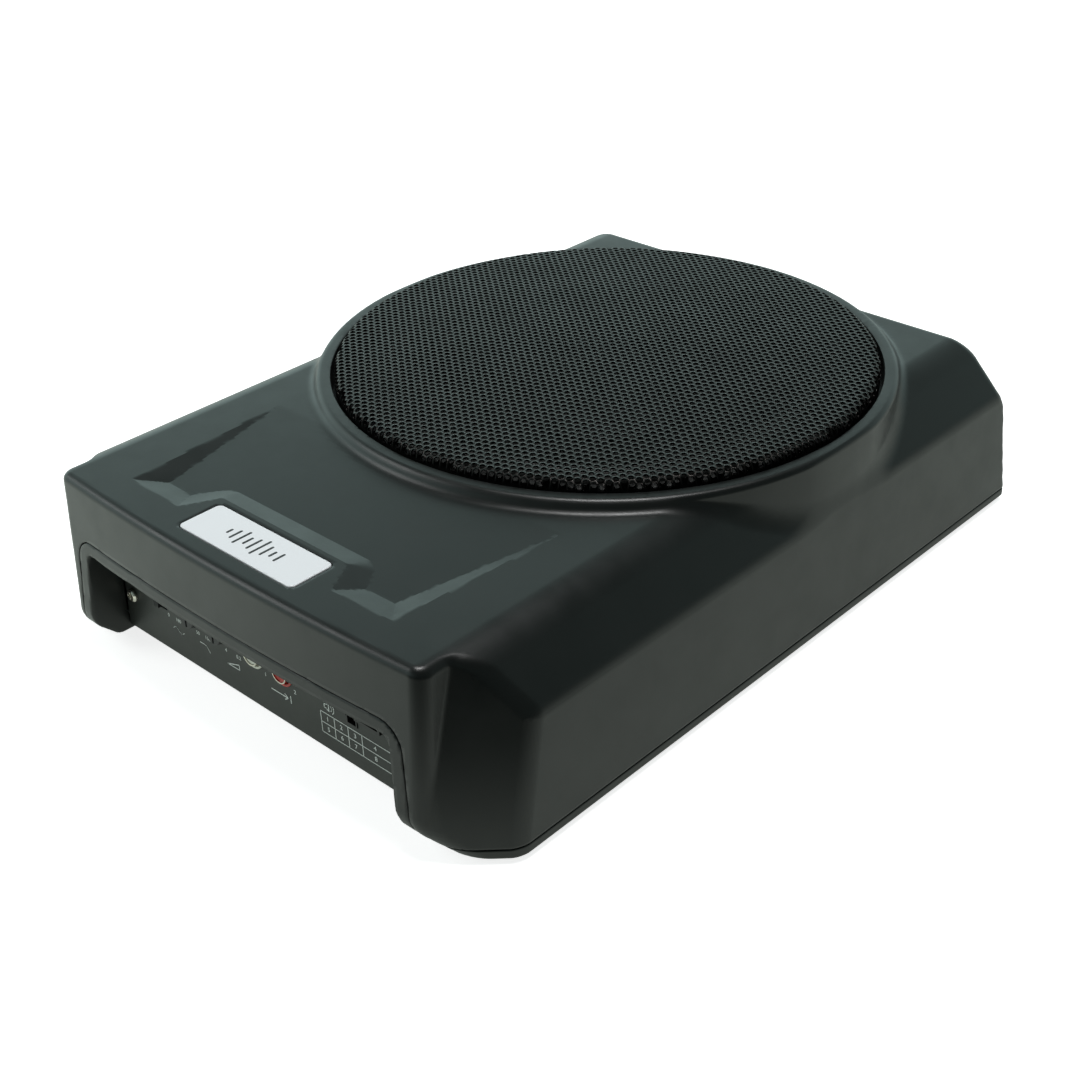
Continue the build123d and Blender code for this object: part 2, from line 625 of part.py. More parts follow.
# ------------------------------------------------------------- control panel
CONNECTOR_HALF_WIDTH = 9.8
CONNECTOR_HALF_HEIGHT = 5.2
KNOB_RADIUS = 4.8
SLIDER_TRAVEL = 3.0
SOCKET_RADIUS = 4.15      # outside of the line-input barrels
SOCKET_WELL_RADIUS = 5.0  # room for a plug's skirt around the barrel
SOCKET_COLLAR_RADIUS = 6.0  # outside of the coloured collar that lines the well
SOCKET_FRONT_Y = -162.0
SOCKET_WELL_FLOOR_Y = -154.0
SOCKET_BACK_Y = -150.0
KEYWAY_X0 = 48.3          # notch for the harness plug's latch
KEYWAY_X1 = 54.1
KEYWAY_BOTTOM_Z = 24.1


def control_panel():
    """Flat plate at the back of the recess, pierced for every control and socket."""
    side = OPENING_HALF_WIDTH - 0.3
    back_y = INSIDE_PANEL_Y - GLUE_GAP
    plate = arch(side, OPENING_TOP_Z - 0.3, OPENING_CORNER_RADIUS, PANEL_FACE_Y, back_y)
    plate = plate - box(-FAR, FAR, -FAR, FAR, -FAR, PANEL_BOTTOM_Z)
    holes = [rod_y(s * PANEL_SCREW_X, PANEL_SCREW_Z, 1.9, -170, -150) for s in (-1, 1)]
    holes += [rod_y(x, CONTROL_Z, KNOB_RADIUS + 0.3, -170, -150) for x in (LOW_PASS_X, GAIN_X)]
    holes += [rod_y(x, CONTROL_Z, SOCKET_COLLAR_RADIUS + GLUE_GAP, -170, -150) for x in SOCKET_XS]
    holes.append(box(PHASE_X - 3.6, PHASE_X + 3.6, -170, -150, PHASE_Z - 1.8, PHASE_Z + 1.8))
    holes.append(box(CONNECTOR_X - CONNECTOR_HALF_WIDTH - 0.1, CONNECTOR_X + CONNECTOR_HALF_WIDTH + 0.1,
                     -170, -150, CONNECTOR_Z - CONNECTOR_HALF_HEIGHT - 0.1,
                     CONNECTOR_Z + CONNECTOR_HALF_HEIGHT + 0.1))
    holes.append(box(KEYWAY_X0 - 0.1, KEYWAY_X1 + 0.1, -170, -150, KEYWAY_BOTTOM_Z - 0.1, CONNECTOR_Z))
    for hole in holes:
        plate = plate - hole
    return plate


def panel_screws():
    """Two nickel cross-head screws that hold the panel."""
    screws = []
    for side in (-1, 1):
        x = side * PANEL_SCREW_X
        head = rod_y(x, PANEL_SCREW_Z, 3.0, PANEL_FACE_Y - 2.0, PANEL_FACE_Y - GLUE_GAP)
        head = chamfer(head.faces().sort_by(Axis.Y)[0].edges(), 0.8)
        shank = rod_y(x, PANEL_SCREW_Z, 1.5, PANEL_FACE_Y - 1.0, -151.0)
        flat = box(x - 1.7, x + 1.7, -163, PANEL_FACE_Y - 1.0, PANEL_SCREW_Z - 0.4, PANEL_SCREW_Z + 0.4)
        upright = box(x - 0.4, x + 0.4, -163, PANEL_FACE_Y - 1.0, PANEL_SCREW_Z - 1.7, PANEL_SCREW_Z + 1.7)
        screws.append(head + shank - flat - upright)
    return group(screws)


def phase_switch():
    """Body of the two-way slide switch."""
    body = box(PHASE_X - 6, PHASE_X + 6, INSIDE_PANEL_Y + 0.2, -150.5, BOARD_TOP_Z + GLUE_GAP, 32.0)
    slot = box(PHASE_X - 3.4, PHASE_X + 3.4, -159, -153.5, PHASE_Z - 1.6, PHASE_Z + 1.6)
    return body - slot


def phase_switch_slider():
    """Small ribbed slider of the phase switch, at its left-hand stop."""
    x0 = PHASE_X - 3.2
    x1 = x0 + 3.2
    slider = box(x0, x1, PANEL_FACE_Y - 1.8, -154.0, PHASE_Z - 1.4, PHASE_Z + 1.4)
    for i in range(3):
        groove_x = x0 + 0.8 * (i + 1)
        slider = slider - box(groove_x - 0.15, groove_x + 0.15, -163, PANEL_FACE_Y - 1.4, 20, 40)
    return slider


def pot_body(x):
    """Body of one rotary control."""
    body = box(x - 6, x + 6, INSIDE_PANEL_Y + 0.2, -147.0, BOARD_TOP_Z + GLUE_GAP, 36.0)
    return body - rod_y(x, CONTROL_Z, KNOB_SHAFT_RADIUS + 0.06, -160, -150)


KNOB_SHAFT_RADIUS = 2.5


def knob(x):
    """Slotted trimmer knob with its shaft, turned with a screwdriver."""
    cap = rod_y(x, CONTROL_Z, KNOB_RADIUS, PANEL_FACE_Y - 2.2, INSIDE_PANEL_Y)
    cap = chamfer(cap.faces().sort_by(Axis.Y)[0].edges(), 0.4)
    shaft = rod_y(x, CONTROL_Z, KNOB_SHAFT_RADIUS, INSIDE_PANEL_Y - 0.5, -150.4)
    slot = box(x - 0.5, x + 0.5, -170, PANEL_FACE_Y - 1.0, CONTROL_Z - 5, CONTROL_Z + 5)
    return cap + shaft - slot


def socket_block():
    """Moulded housing behind the two line-input sockets, with a round well about each barrel."""
    x0 = SOCKET_XS[0] - 8
    x1 = SOCKET_XS[1] + 8
    body = box(x0, x1, INSIDE_PANEL_Y + 0.2, -143.0, BOARD_TOP_Z + GLUE_GAP, 38.0)
    for x in SOCKET_XS:
        body = body - rod_y(x, CONTROL_Z, SOCKET_COLLAR_RADIUS + GLUE_GAP, -160, SOCKET_WELL_FLOOR_Y)
        body = body - rod_y(x, CONTROL_Z, SOCKET_RADIUS - 0.2, -160, SOCKET_BACK_Y)
    return body


def socket_barrel(x):
    """One nickel outer contact: a free end for the plug and a thinner root in the housing."""
    free_end = rod_y(x, CONTROL_Z, SOCKET_RADIUS, SOCKET_FRONT_Y, SOCKET_WELL_FLOOR_Y - GLUE_GAP)
    root = rod_y(x, CONTROL_Z, SOCKET_RADIUS - 0.25, SOCKET_WELL_FLOOR_Y - 1.0, SOCKET_BACK_Y - GLUE_GAP)
    bore = rod_y(x, CONTROL_Z, SOCKET_RADIUS - 0.6, -170, SOCKET_BACK_Y - 1.0)
    return free_end + root - bore


def socket_barrels():
    """The outer contacts of both line-input sockets."""
    return group([socket_barrel(x) for x in SOCKET_XS])


def socket_insulator(x):
    """Coloured core inside a barrel, with the centre contact hole, and the collar round the well."""
    core = rod_y(x, CONTROL_Z, SOCKET_RADIUS - 0.65, SOCKET_FRONT_Y + 0.5, SOCKET_BACK_Y - 1.1)
    core = core - rod_y(x, CONTROL_Z, 1.65, -170, -153.0)
    collar = rod_y(x, CONTROL_Z, SOCKET_COLLAR_RADIUS, PANEL_FACE_Y - 0.5, SOCKET_WELL_FLOOR_Y - GLUE_GAP)
    collar = collar - rod_y(x, CONTROL_Z, SOCKET_WELL_RADIUS, -170, -150)
    return group([core, collar])


def power_connector():
    """Eight-way header housing, open to the front, with a latch notch at its lower left."""
    hw, hh = CONNECTOR_HALF_WIDTH, CONNECTOR_HALF_HEIGHT
    x, z = CONNECTOR_X, CONNECTOR_Z
    body = box(x - hw, x + hw, PANEL_FACE_Y - 1.0, -146.0, z - hh, z + hh)
    body = body + box(KEYWAY_X0, KEYWAY_X1, PANEL_FACE_Y - 0.4, -146.0, KEYWAY_BOTTOM_Z, z)
    body = body + box(x - hw, x + hw, -154.0, -146.0, BOARD_TOP_Z + GLUE_GAP, z)
    body = body - box(x - hw + 1.2, x + hw - 1.2, -165, -149.0, z - hh + 1.2, z + hh - 1.2)
    body = body - box(KEYWAY_X0 + 0.6, KEYWAY_X1 - 0.6, -165, -149.0, KEYWAY_BOTTOM_Z + 0.6, z)
    return body


def power_pins():
    """Two rows of four contact pins."""
    pins = []
    for row in (-1, 1):
        for column in range(4):
            x = CONNECTOR_X + (column - 1.5) * 4.2
            z = CONNECTOR_Z + row * 2.0
            pins.append(box(x - 0.5, x + 0.5, -158.0, -149.0 - GLUE_GAP, z - 0.5, z + 0.5))
    return group(pins)


# ------------------------------------------------------------- amplifier
SPEAKER_PLUG_X = 66.0
BOARD_FRONT_Y = INSIDE_PANEL_Y + 0.6
BOARD_BACK_Y = -82.0
HEAT_SINK_Y = -92.0
TRANSISTOR_XS = (-42.0, -24.0, -6.0, 12.0)


def amplifier_board():
    """Circuit board on its four standoffs."""
    board = box(-80.5, 80.5, BOARD_FRONT_Y, -146.0, BOARD_Z, BOARD_TOP_Z)
    board = board + box(-88, 88, -147.0, BOARD_BACK_Y, BOARD_Z, BOARD_TOP_Z)
    for x, y in STANDOFF_PLACES:
        board = board - rod_z(x, y, 1.7, 0, 30)
    return board


def board_screws():
    """Four small screws that hold the board."""
    return group([
        rod_z(x, y, 2.8, BOARD_TOP_Z + GLUE_GAP, BOARD_TOP_Z + 2) + rod_z(x, y, 1.5, 6.0, BOARD_TOP_Z + 0.5)
        - box(x - 1.5, x + 1.5, y - 0.3, y + 0.3, BOARD_TOP_Z + 1.2, BOARD_TOP_Z + 3)
        for x, y in STANDOFF_PLACES])


def filter_capacitors():
    """Electrolytic cans: two large, four small."""
    places = [(-72, -118, 8, 26), (-52, -118, 8, 26), (-34, -130, 5, 16), (-20, -130, 5, 16),
              (42, -132, 4, 12), (52, -132, 4, 12)]
    base = BOARD_TOP_Z + GLUE_GAP
    cans = []
    for x, y, radius, height in places:
        can = rod_z(x, y, radius, base, base + height)
        cans.append(fillet(can.faces().sort_by(Axis.Z)[-1].edges(), 0.8))
    return group(cans)


def toroid():
    """Wound ring transformer of the power supply."""
    ring = Pos(16, -117, BOARD_TOP_Z + 7.2) * Torus(11.0, 6.0)
    return ring


def output_inductor():
    """Square shielded inductor of the output filter."""
    block = box(48, 62, -125, -111, BOARD_TOP_Z + GLUE_GAP, BOARD_TOP_Z + 12)
    return chamfer(block.edges().filter_by(Axis.Z), 2.0)


def power_transistors():
    """Four power transistors standing against the heat sink."""
    return group([
        box(x - 5, x + 5, HEAT_SINK_Y - 4.6, HEAT_SINK_Y - GLUE_GAP, BOARD_TOP_Z + 4, BOARD_TOP_Z + 19)
        + box(x - 3.2, x + 3.2, HEAT_SINK_Y - 3, HEAT_SINK_Y - 2.4, BOARD_TOP_Z + GLUE_GAP, BOARD_TOP_Z + 5)
        for x in TRANSISTOR_XS])


def heat_sink():
    """Aluminium bar with upright fins on its back."""
    bar = box(-52, 22, HEAT_SINK_Y, HEAT_SINK_Y + 3, BOARD_TOP_Z + GLUE_GAP, BOARD_TOP_Z + 24)
    fins = [box(x, x + 1.2, HEAT_SINK_Y + 2, HEAT_SINK_Y + 9, BOARD_TOP_Z + 1, BOARD_TOP_Z + 24)
            for x in range(-52, 22, 6)]
    return fused([bar] + fins)


def driver_chips():
    """Small surface-mount chips."""
    places = [(-6, -136, 8, 5), (34, -144, 10, 6), (-62, -138, 6, 6), (62, -138, 7, 5)]
    base = BOARD_TOP_Z + GLUE_GAP
    return group([box(x - w / 2, x + w / 2, y - d / 2, y + d / 2, base, base + 1.6)
                  for x, y, w, d in places])


def speaker_plug():
    """Two-way plug where the speaker wires leave the board."""
    body = box(SPEAKER_PLUG_X - 6, SPEAKER_PLUG_X + 6, -100, -93, BOARD_TOP_Z + GLUE_GAP, BOARD_TOP_Z + 10)
    for side in (-1, 1):
        body = body - rod_y(SPEAKER_PLUG_X + side * 2.5, BOARD_TOP_Z + 7.5, 1.9, -98, -90)
    return body


# ------------------------------------------------------------- all the nodes
NODES = {
    "top_shell": top_shell,
    "bottom_shell": bottom_shell,
    "case_seal": case_seal,
    "case_screws": case_screws,
    "bracket_inserts": bracket_inserts,
    "rubber_feet": rubber_feet,
    "badge_plate": badge_plate,
    "grille": grille,
    "basket": basket,
    "driver_gasket": driver_gasket,
    "driver_screws": driver_screws,
    "surround": surround,
    "cone": cone,
    "dust_cap": dust_cap,
    "voice_coil_former": voice_coil_former,
    "voice_coil": voice_coil,
    "spider": spider,
    "top_plate": top_plate,
    "magnet": magnet,
    "yoke": yoke,
    "terminal_strip": terminal_strip,
    "terminal_lugs": terminal_lugs,
    "tinsel_leads": tinsel_leads,
    "speaker_wire_red": lambda: speaker_wire(1),
    "speaker_wire_black": lambda: speaker_wire(-1),
    "control_panel": control_panel,
    "panel_screws": panel_screws,
    "phase_switch": phase_switch,
    "phase_switch_slider": phase_switch_slider,
    "low_pass_pot": lambda: pot_body(LOW_PASS_X),
    "low_pass_knob": lambda: knob(LOW_PASS_X),
    "gain_pot": lambda: pot_body(GAIN_X),
    "gain_knob": lambda: knob(GAIN_X),
    "socket_block": socket_block,
    "socket_barrels": socket_barrels,
    "socket_insulator_white": lambda: socket_insulator(SOCKET_XS[0]),
    "socket_insulator_red": lambda: socket_insulator(SOCKET_XS[1]),
    "power_connector": power_connector,
    "power_pins": power_pins,
    "amplifier_board": amplifier_board,
    "board_screws": board_screws,
    "filter_capacitors": filter_capacitors,
    "toroid_transformer": toroid,
    "output_inductor": output_inductor,
    "power_transistors": power_transistors,
    "heat_sink": heat_sink,
    "driver_chips": driver_chips,
    "speaker_plug": speaker_plug,
}

os.makedirs("parts", exist_ok=True)
for name, make in NODES.items():
    solids = [Pos(0, CENTRING, 0) * solid for solid in make().solids()]
    export_step(group(solids), os.path.join("parts", name + ".step"))
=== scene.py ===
import json
import math

import bmesh
import bpy
import numpy as np
from mathutils import Matrix, Vector

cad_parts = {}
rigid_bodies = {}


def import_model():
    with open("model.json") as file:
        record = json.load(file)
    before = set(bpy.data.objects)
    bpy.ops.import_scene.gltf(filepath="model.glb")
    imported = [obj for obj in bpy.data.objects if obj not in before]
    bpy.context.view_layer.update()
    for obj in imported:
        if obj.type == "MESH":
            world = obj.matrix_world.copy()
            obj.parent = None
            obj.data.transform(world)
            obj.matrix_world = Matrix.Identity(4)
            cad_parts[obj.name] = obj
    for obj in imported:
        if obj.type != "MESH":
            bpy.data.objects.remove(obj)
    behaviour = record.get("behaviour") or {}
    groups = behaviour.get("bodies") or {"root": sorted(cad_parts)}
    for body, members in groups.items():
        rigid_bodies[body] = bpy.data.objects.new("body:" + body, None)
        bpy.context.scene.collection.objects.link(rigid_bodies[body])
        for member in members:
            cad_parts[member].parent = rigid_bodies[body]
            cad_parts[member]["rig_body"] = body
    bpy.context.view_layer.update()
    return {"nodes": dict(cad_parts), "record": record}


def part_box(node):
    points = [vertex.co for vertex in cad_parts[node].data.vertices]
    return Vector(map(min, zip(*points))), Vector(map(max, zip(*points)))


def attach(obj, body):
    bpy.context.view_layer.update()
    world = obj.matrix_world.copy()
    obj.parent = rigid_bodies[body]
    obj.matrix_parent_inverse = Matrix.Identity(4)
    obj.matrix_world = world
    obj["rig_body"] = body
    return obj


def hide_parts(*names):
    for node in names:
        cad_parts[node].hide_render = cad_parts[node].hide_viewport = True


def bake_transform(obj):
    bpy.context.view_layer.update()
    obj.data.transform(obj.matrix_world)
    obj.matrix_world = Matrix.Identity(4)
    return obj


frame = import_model()

MM = 0.001                # shapes below are worked out in millimetres and built in metres


# ================================================================ places from the frame
def low(node):
    """Lowest corner of a CAD node, in millimetres."""
    return np.array(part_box(node)[0]) / MM


def high(node):
    """Highest corner of a CAD node, in millimetres."""
    return np.array(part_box(node)[1]) / MM


def middle(node):
    """Centre of a CAD node, in millimetres."""
    return (low(node) + high(node)) / 2


SHELL_LOW, SHELL_HIGH = low("top_shell"), high("top_shell")
HALF_WIDTH = SHELL_HIGH[0]
BODY_LENGTH = 354.0
BACK_Y = SHELL_HIGH[1]
FRONT_Y = BACK_Y - BODY_LENGTH
CABINET_Y = (FRONT_Y + BACK_Y) / 2
SEAM_Z = SHELL_LOW[2]
RING_TOP_Z = SHELL_HIGH[2]
BADGE_LOW, BADGE_HIGH = low("badge_plate"), high("badge_plate")
BADGE_HALF_X = (BADGE_HIGH[0] - BADGE_LOW[0]) / 2
BADGE_HALF_Y = (BADGE_HIGH[1] - BADGE_LOW[1]) / 2
PLATEAU_Z = BADGE_HIGH[2] - 0.2
WOOFER = middle("grille")
WOOFER_Y = WOOFER[1]
GRILLE_RADIUS = high("grille")[0]
GRILLE_TOP_Z = high("grille")[2]
GRILLE_FOOT_Z = low("grille")[2]
PANEL_LOW, PANEL_HIGH = low("control_panel"), high("control_panel")
PANEL_Y = PANEL_LOW[1]
TRAY_LOW_Z = low("bottom_shell")[2]
FRAME_TOP_Z = high("bottom_shell")[2]

# cabinet shape: outside
SIDE_TOP_Z = 57.0
SIDE_DRAFT = 2.0          # how far the side, front and back walls lean in over their height
FRONT_DRAFT = 4.5
BACK_DRAFT = 11.4
SHOULDER_ANGLE = math.radians(51.0)
FRONT_BOW = 4.2           # how far the front bulges forward in the middle
SLOPE_TOP_Z = 13.0        # where the slope at the front's lower edge begins
NOSE_HALF_WIDTH = 105.5
SCOOP_SLOPE_XY = 0.958    # how far the scoops run back for each millimetre outwards
SCOOP_SLOPE_Z = 0.258     # and upwards
RING_RADIUS = 127.6

# cabinet shape: radii of its rounded edges and fillets
SHOULDER_ROUND = 7.4
BACK_ROUND = 5.0
RING_ROUND = 2.6
RING_FILLET = 4.5
SIDE_ROUND = 1.8
SCOOP_FILLET = 0.8
NOSE_ROUND = 6.0
SLOPE_ROUND = 4.0
FRONT_ROUND = 3.4
SEAM_ROUND = 0.35
ARCH_FILLET = 5.5

# cabinet shape: inside and the two shells
WALL = 4.5                # thicker than the moulding's, so that both faces contour cleanly
WELL_RADIUS = 121.0
WELL_ROUND = 0.7
BAFFLE_Z = 74.0
BAFFLE_HOLE_RADIUS = 104.5
BADGE_GAP = 0.45
BADGE_CORNER = 2.9
FRAME_HALF_WIDTH = 95.0
FRAME_CORNER = 10.0
OPENING_HALF_WIDTH = 89.6
OPENING_TOP_Z = PANEL_HIGH[2] + 0.3
OPENING_CORNER = 3.5
LEG_SPLAY = 0.09
TUNNEL_WALL = 3.2
TUNNEL_DEPTH = 2.0        # how far the mouth goes behind the panel's face
HALF_GAP = 0.3
PARTING_Z = SEAM_Z - HALF_GAP
LIP_DEPTH = 8.8           # from the skin to the middle of the upstanding lip inside the seam
LIP_HALF_WALL = 1.0
LIP_TOP_Z = SEAM_Z + 3.0
LIP_FRONT_Y = CABINET_Y - 158.0
TRAY_FLOOR_Z = TRAY_LOW_Z + 2.5
TRAY_FRONT_WALL = 11.0
TRAY_FOOT_ROUND = 1.6

# screw posts and insert bosses, mirrored to both sides
CASE_SCREW_PLACES = [(118.5, CABINET_Y + y) for y in (-105.0, 30.0, 150.0)]
SCREW_POST_RADIUS = 4.6
SCREW_POCKET_RADIUS = 3.7
SCREW_POCKET_TOP_Z = 4.05
INSERT_PLACES = [(100.0, CABINET_Y + y) for y in (-60.0, 120.0)]
INSERT_BOSS_RADIUS = 6.0
INSERT_BOSS_TOP_Z = 12.0
INSERT_RADIUS = 3.3
INSERT_HOLE_TOP_Z = 11.0

# pocket in the flat top
POCKET_CORNERS = [(x, CABINET_Y + y)
                  for x, y in ((82.0, -68.0), (75.5, -157.0), (45.0, -158.2), (36.7, -142.8))]
POCKET_SLOPE = 0.22
POCKET_DEPTH = 2.3
POCKET_DEEP_Y = CABINET_Y - 146.0         # full depth in front of this place, nothing behind the next
POCKET_END_Y = CABINET_Y - 78.0


# ================================================================ smooth solids
def round_max(a, b, radius):
    """Intersection of two distance fields with a rounded edge."""
    corner = np.hypot(np.maximum(a + radius, 0), np.maximum(b + radius, 0))
    return np.minimum(-radius, np.maximum(a, b)) + corner


def round_min(a, b, radius):
    """Union of two distance fields with a fillet in the crease."""
    return -round_max(-a, -b, radius)


def arch_distance(x, z, half_width, top_z, corner):
    """Distance to a round-cornered doorway shape that widens a little as it runs down."""
    foot = LEG_SPLAY * np.maximum(top_z - z, 0)
    qx = np.abs(x) - (half_width - corner) - foot
    qz = z - (top_z - corner)
    outside = np.hypot(np.maximum(qx, 0), np.maximum(qz, 0))
    return outside + np.minimum(np.maximum(qx, qz), 0) - corner


def rounded_box_distance(x, y, half_x, half_y, corner):
    """Distance to a rounded rectangle in plan."""
    qx = np.abs(x) - (half_x - corner)
    qy = np.abs(y) - (half_y - corner)
    outside = np.hypot(np.maximum(qx, 0), np.maximum(qy, 0))
    return outside + np.minimum(np.maximum(qx, qy), 0) - corner


def polygon_distance(x, y, corners):
    """Signed distance to a closed polygon, negative inside."""
    nearest = np.full(np.shape(x), 1e9)
    sign = np.ones(np.shape(x))
    previous = corners[-1]
    for corner in corners:
        ex, ey = previous[0] - corner[0], previous[1] - corner[1]
        wx, wy = x - corner[0], y - corner[1]
        share = np.clip((wx * ex + wy * ey) / (ex * ex + ey * ey), 0, 1)
        nearest = np.minimum(nearest, np.hypot(wx - ex * share, wy - ey * share))
        above = y >= corner[1]
        below = y < previous[1]
        left = ex * wy > ey * wx
        flip = (above & below & left) | (~above & ~below & ~left)
        sign = np.where(flip, -sign, sign)
        previous = corner
    return sign * nearest


def pocket_depth(x, y):
    """Depth of the arrow-shaped pocket below the flat top."""
    outline = POCKET_CORNERS + [(-px, py) for px, py in reversed(POCKET_CORNERS)]
    inside = -polygon_distance(x, y, outline)
    fade = np.clip((POCKET_END_Y - y) / (POCKET_END_Y - POCKET_DEEP_Y), 0, 1)
    return np.clip(np.minimum(inside * POCKET_SLOPE, POCKET_DEPTH * fade), 0, None)


def above_seam(z):
    """Height above the seam; the walls stand upright below it."""
    return np.maximum(z, SEAM_Z) - SEAM_Z


def side_face(x, z):
    """Both side walls."""
    lean = SIDE_DRAFT / (SIDE_TOP_Z - SEAM_Z)
    return (np.abs(x) - HALF_WIDTH + lean * above_seam(z)) / math.hypot(1, lean)


def front_face(x, y, z):
    """Front wall: it leans back and bows gently forward in the middle."""
    lean = FRONT_DRAFT / (PLATEAU_Z - SEAM_Z)
    bow = FRONT_BOW * np.maximum(1 - (x / NOSE_HALF_WIDTH) ** 2, 0)
    return (FRONT_Y - bow + lean * above_seam(z) - y) / math.hypot(1, lean)


def lower_slope(y, z):
    """Slope that takes the lower front edge away at 45 degrees."""
    return (FRONT_Y - y + SLOPE_TOP_Z - z) / math.sqrt(2)


def back_face(y, z):
    """Back wall."""
    lean = BACK_DRAFT / (PLATEAU_Z - SEAM_Z)
    return (y - BACK_Y + lean * above_seam(z)) / math.hypot(1, lean)


def scoop_face(x, y, z):
    """Slanting faces on both sides of the nose."""
    face_y = FRONT_Y + SCOOP_SLOPE_XY * (np.abs(x) - NOSE_HALF_WIDTH) + SCOOP_SLOPE_Z * above_seam(z)
    return (face_y - y) / math.sqrt(1 + SCOOP_SLOPE_XY ** 2 + SCOOP_SLOPE_Z ** 2)


def cabinet_skin(x, y, z):
    """Distance to the outside of the whole cabinet, ring included, seam and recess left out."""
    top = z - PLATEAU_Z + pocket_depth(x, y)
    lean_x, lean_z = math.sin(SHOULDER_ANGLE), math.cos(SHOULDER_ANGLE)
    top_x = HALF_WIDTH - SIDE_DRAFT
    shoulder = (np.abs(x) - top_x) * lean_x + (z - SIDE_TOP_Z) * lean_z
    skin = round_max(top, shoulder, SHOULDER_ROUND)
    skin = round_max(skin, back_face(y, z), BACK_ROUND)
    ring_wall = np.hypot(x, y - WOOFER_Y) - RING_RADIUS
    ring = round_max(ring_wall, z - RING_TOP_Z, RING_ROUND)
    skin = round_min(skin, ring, RING_FILLET)
    skin = round_max(skin, side_face(x, z), SIDE_ROUND)
    nose_side = np.abs(x) - NOSE_HALF_WIDTH
    flank = round_min(nose_side, scoop_face(x, y, z), SCOOP_FILLET)
    front = round_max(flank, front_face(x, y, z), NOSE_ROUND)
    front = round_max(front, lower_slope(y, z), SLOPE_ROUND)
    return round_max(skin, front, FRONT_ROUND)


def parting(x, y, z):
    """Surface between the two shells: the seam all round and the arch at the front."""
    arch = arch_distance(x, z, FRAME_HALF_WIDTH + HALF_GAP, FRAME_TOP_Z + HALF_GAP, FRAME_CORNER)
    arch = np.maximum(arch, y - PANEL_Y)
    return round_min(z - PARTING_Z, arch, ARCH_FILLET)


def top_shell_distance(x, y, z):
    """Upper shell: a skin of even wall, the baffle and well of the woofer and the badge recess."""
    skin = cabinet_skin(x, y, z)
    radius = np.hypot(x, y - WOOFER_Y)
    solid = np.maximum(skin, -(skin + WALL))
    baffle = np.maximum(radius - RING_RADIUS, np.abs(z - (BAFFLE_Z + RING_TOP_Z - 3) / 2)
                        - (RING_TOP_Z - BAFFLE_Z + 3) / 2)
    solid = np.minimum(solid, np.maximum(baffle, skin))
    well = np.maximum(radius - WELL_RADIUS, BAFFLE_Z - z)
    solid = round_max(solid, -well, WELL_ROUND)
    solid = np.maximum(solid, BAFFLE_HOLE_RADIUS - radius)
    badge_x, badge_y = middle("badge_plate")[:2]
    recess = rounded_box_distance(x - badge_x, y - badge_y, BADGE_HALF_X + BADGE_GAP,
                                  BADGE_HALF_Y + BADGE_GAP, BADGE_CORNER)
    recess = np.maximum(recess, BADGE_LOW[2] - 0.05 - z)
    solid = round_max(solid, -recess, SEAM_ROUND)
    return round_max(solid, HALF_GAP - parting(x, y, z), SEAM_ROUND)


def posts(x, y, z, places, radius, top_z):
    """Round posts that stand on the tray floor, mirrored to both sides."""
    nearest = np.full(np.shape(x), 1e3)
    for px, py in places:
        nearest = np.minimum(nearest, np.hypot(np.abs(x) - px, y - py) - radius)
    return np.maximum(nearest, z - top_z)


def tray_posts(x, y, z):
    """Screw posts and insert bosses, solid."""
    screw_posts = posts(x, y, z, CASE_SCREW_PLACES, SCREW_POST_RADIUS, LIP_TOP_Z)
    bosses = posts(x, y, z, INSERT_PLACES, INSERT_BOSS_RADIUS, INSERT_BOSS_TOP_Z)
    return np.maximum(np.minimum(screw_posts, bosses), TRAY_LOW_Z - z)


def bottom_shell_distance(x, y, z):
    """Lower shell: a tray with the arch at its front, a lip inside the seam and its posts."""
    skin = cabinet_skin(x, y, z)
    skin = round_max(skin, TRAY_LOW_Z - z, TRAY_FOOT_ROUND)
    below_seam = parting(x, y, z) + HALF_GAP
    tunnel = arch_distance(x, z, OPENING_HALF_WIDTH + TUNNEL_WALL, OPENING_TOP_Z + TUNNEL_WALL,
                           OPENING_CORNER + TUNNEL_WALL)
    opening = arch_distance(x, z, OPENING_HALF_WIDTH, OPENING_TOP_Z, OPENING_CORNER)
    behind_mouth = y - PANEL_Y - TUNNEL_DEPTH
    hollow = np.maximum(skin + LIP_DEPTH + LIP_HALF_WALL, TRAY_FLOOR_Z - z)
    hollow = np.maximum(hollow, FRONT_Y + TRAY_FRONT_WALL - y)
    hollow = np.maximum(hollow, -np.maximum(tunnel, behind_mouth))
    solid = round_max(skin, below_seam, 0.5)
    solid = np.maximum(solid, -hollow)
    lip = np.maximum(np.abs(skin + LIP_DEPTH) - LIP_HALF_WALL, z - LIP_TOP_Z)
    lip = np.maximum(np.maximum(lip, TRAY_FLOOR_Z - z), LIP_FRONT_Y - y)
    solid = np.minimum(np.minimum(solid, lip), tray_posts(x, y, z))
    pockets = posts(x, y, z, CASE_SCREW_PLACES, SCREW_POCKET_RADIUS, SCREW_POCKET_TOP_Z)
    solid = round_max(solid, -pockets, 0.3)
    solid = np.maximum(solid, -posts(x, y, z, INSERT_PLACES, INSERT_RADIUS, INSERT_HOLE_TOP_Z))
    return round_max(solid, -np.maximum(opening, behind_mouth), WELL_ROUND)


PULL_TO_CENTRE = 0.06     # keeps a vertex near its cell where the surface is flat


def graded(start, end, step, fine_zones=()):
    """Grid lines from start to end, closer together inside the fine zones."""
    lines = [start]
    while lines[-1] < end:
        here = lines[-1]
        size = step
        for zone_start, zone_end, fine in fine_zones:
            if zone_start <= here < zone_end:
                size = fine
            elif here < zone_start < here + size:
                size = max(zone_start - here, fine)
        lines.append(here + size)
    return np.array(lines)


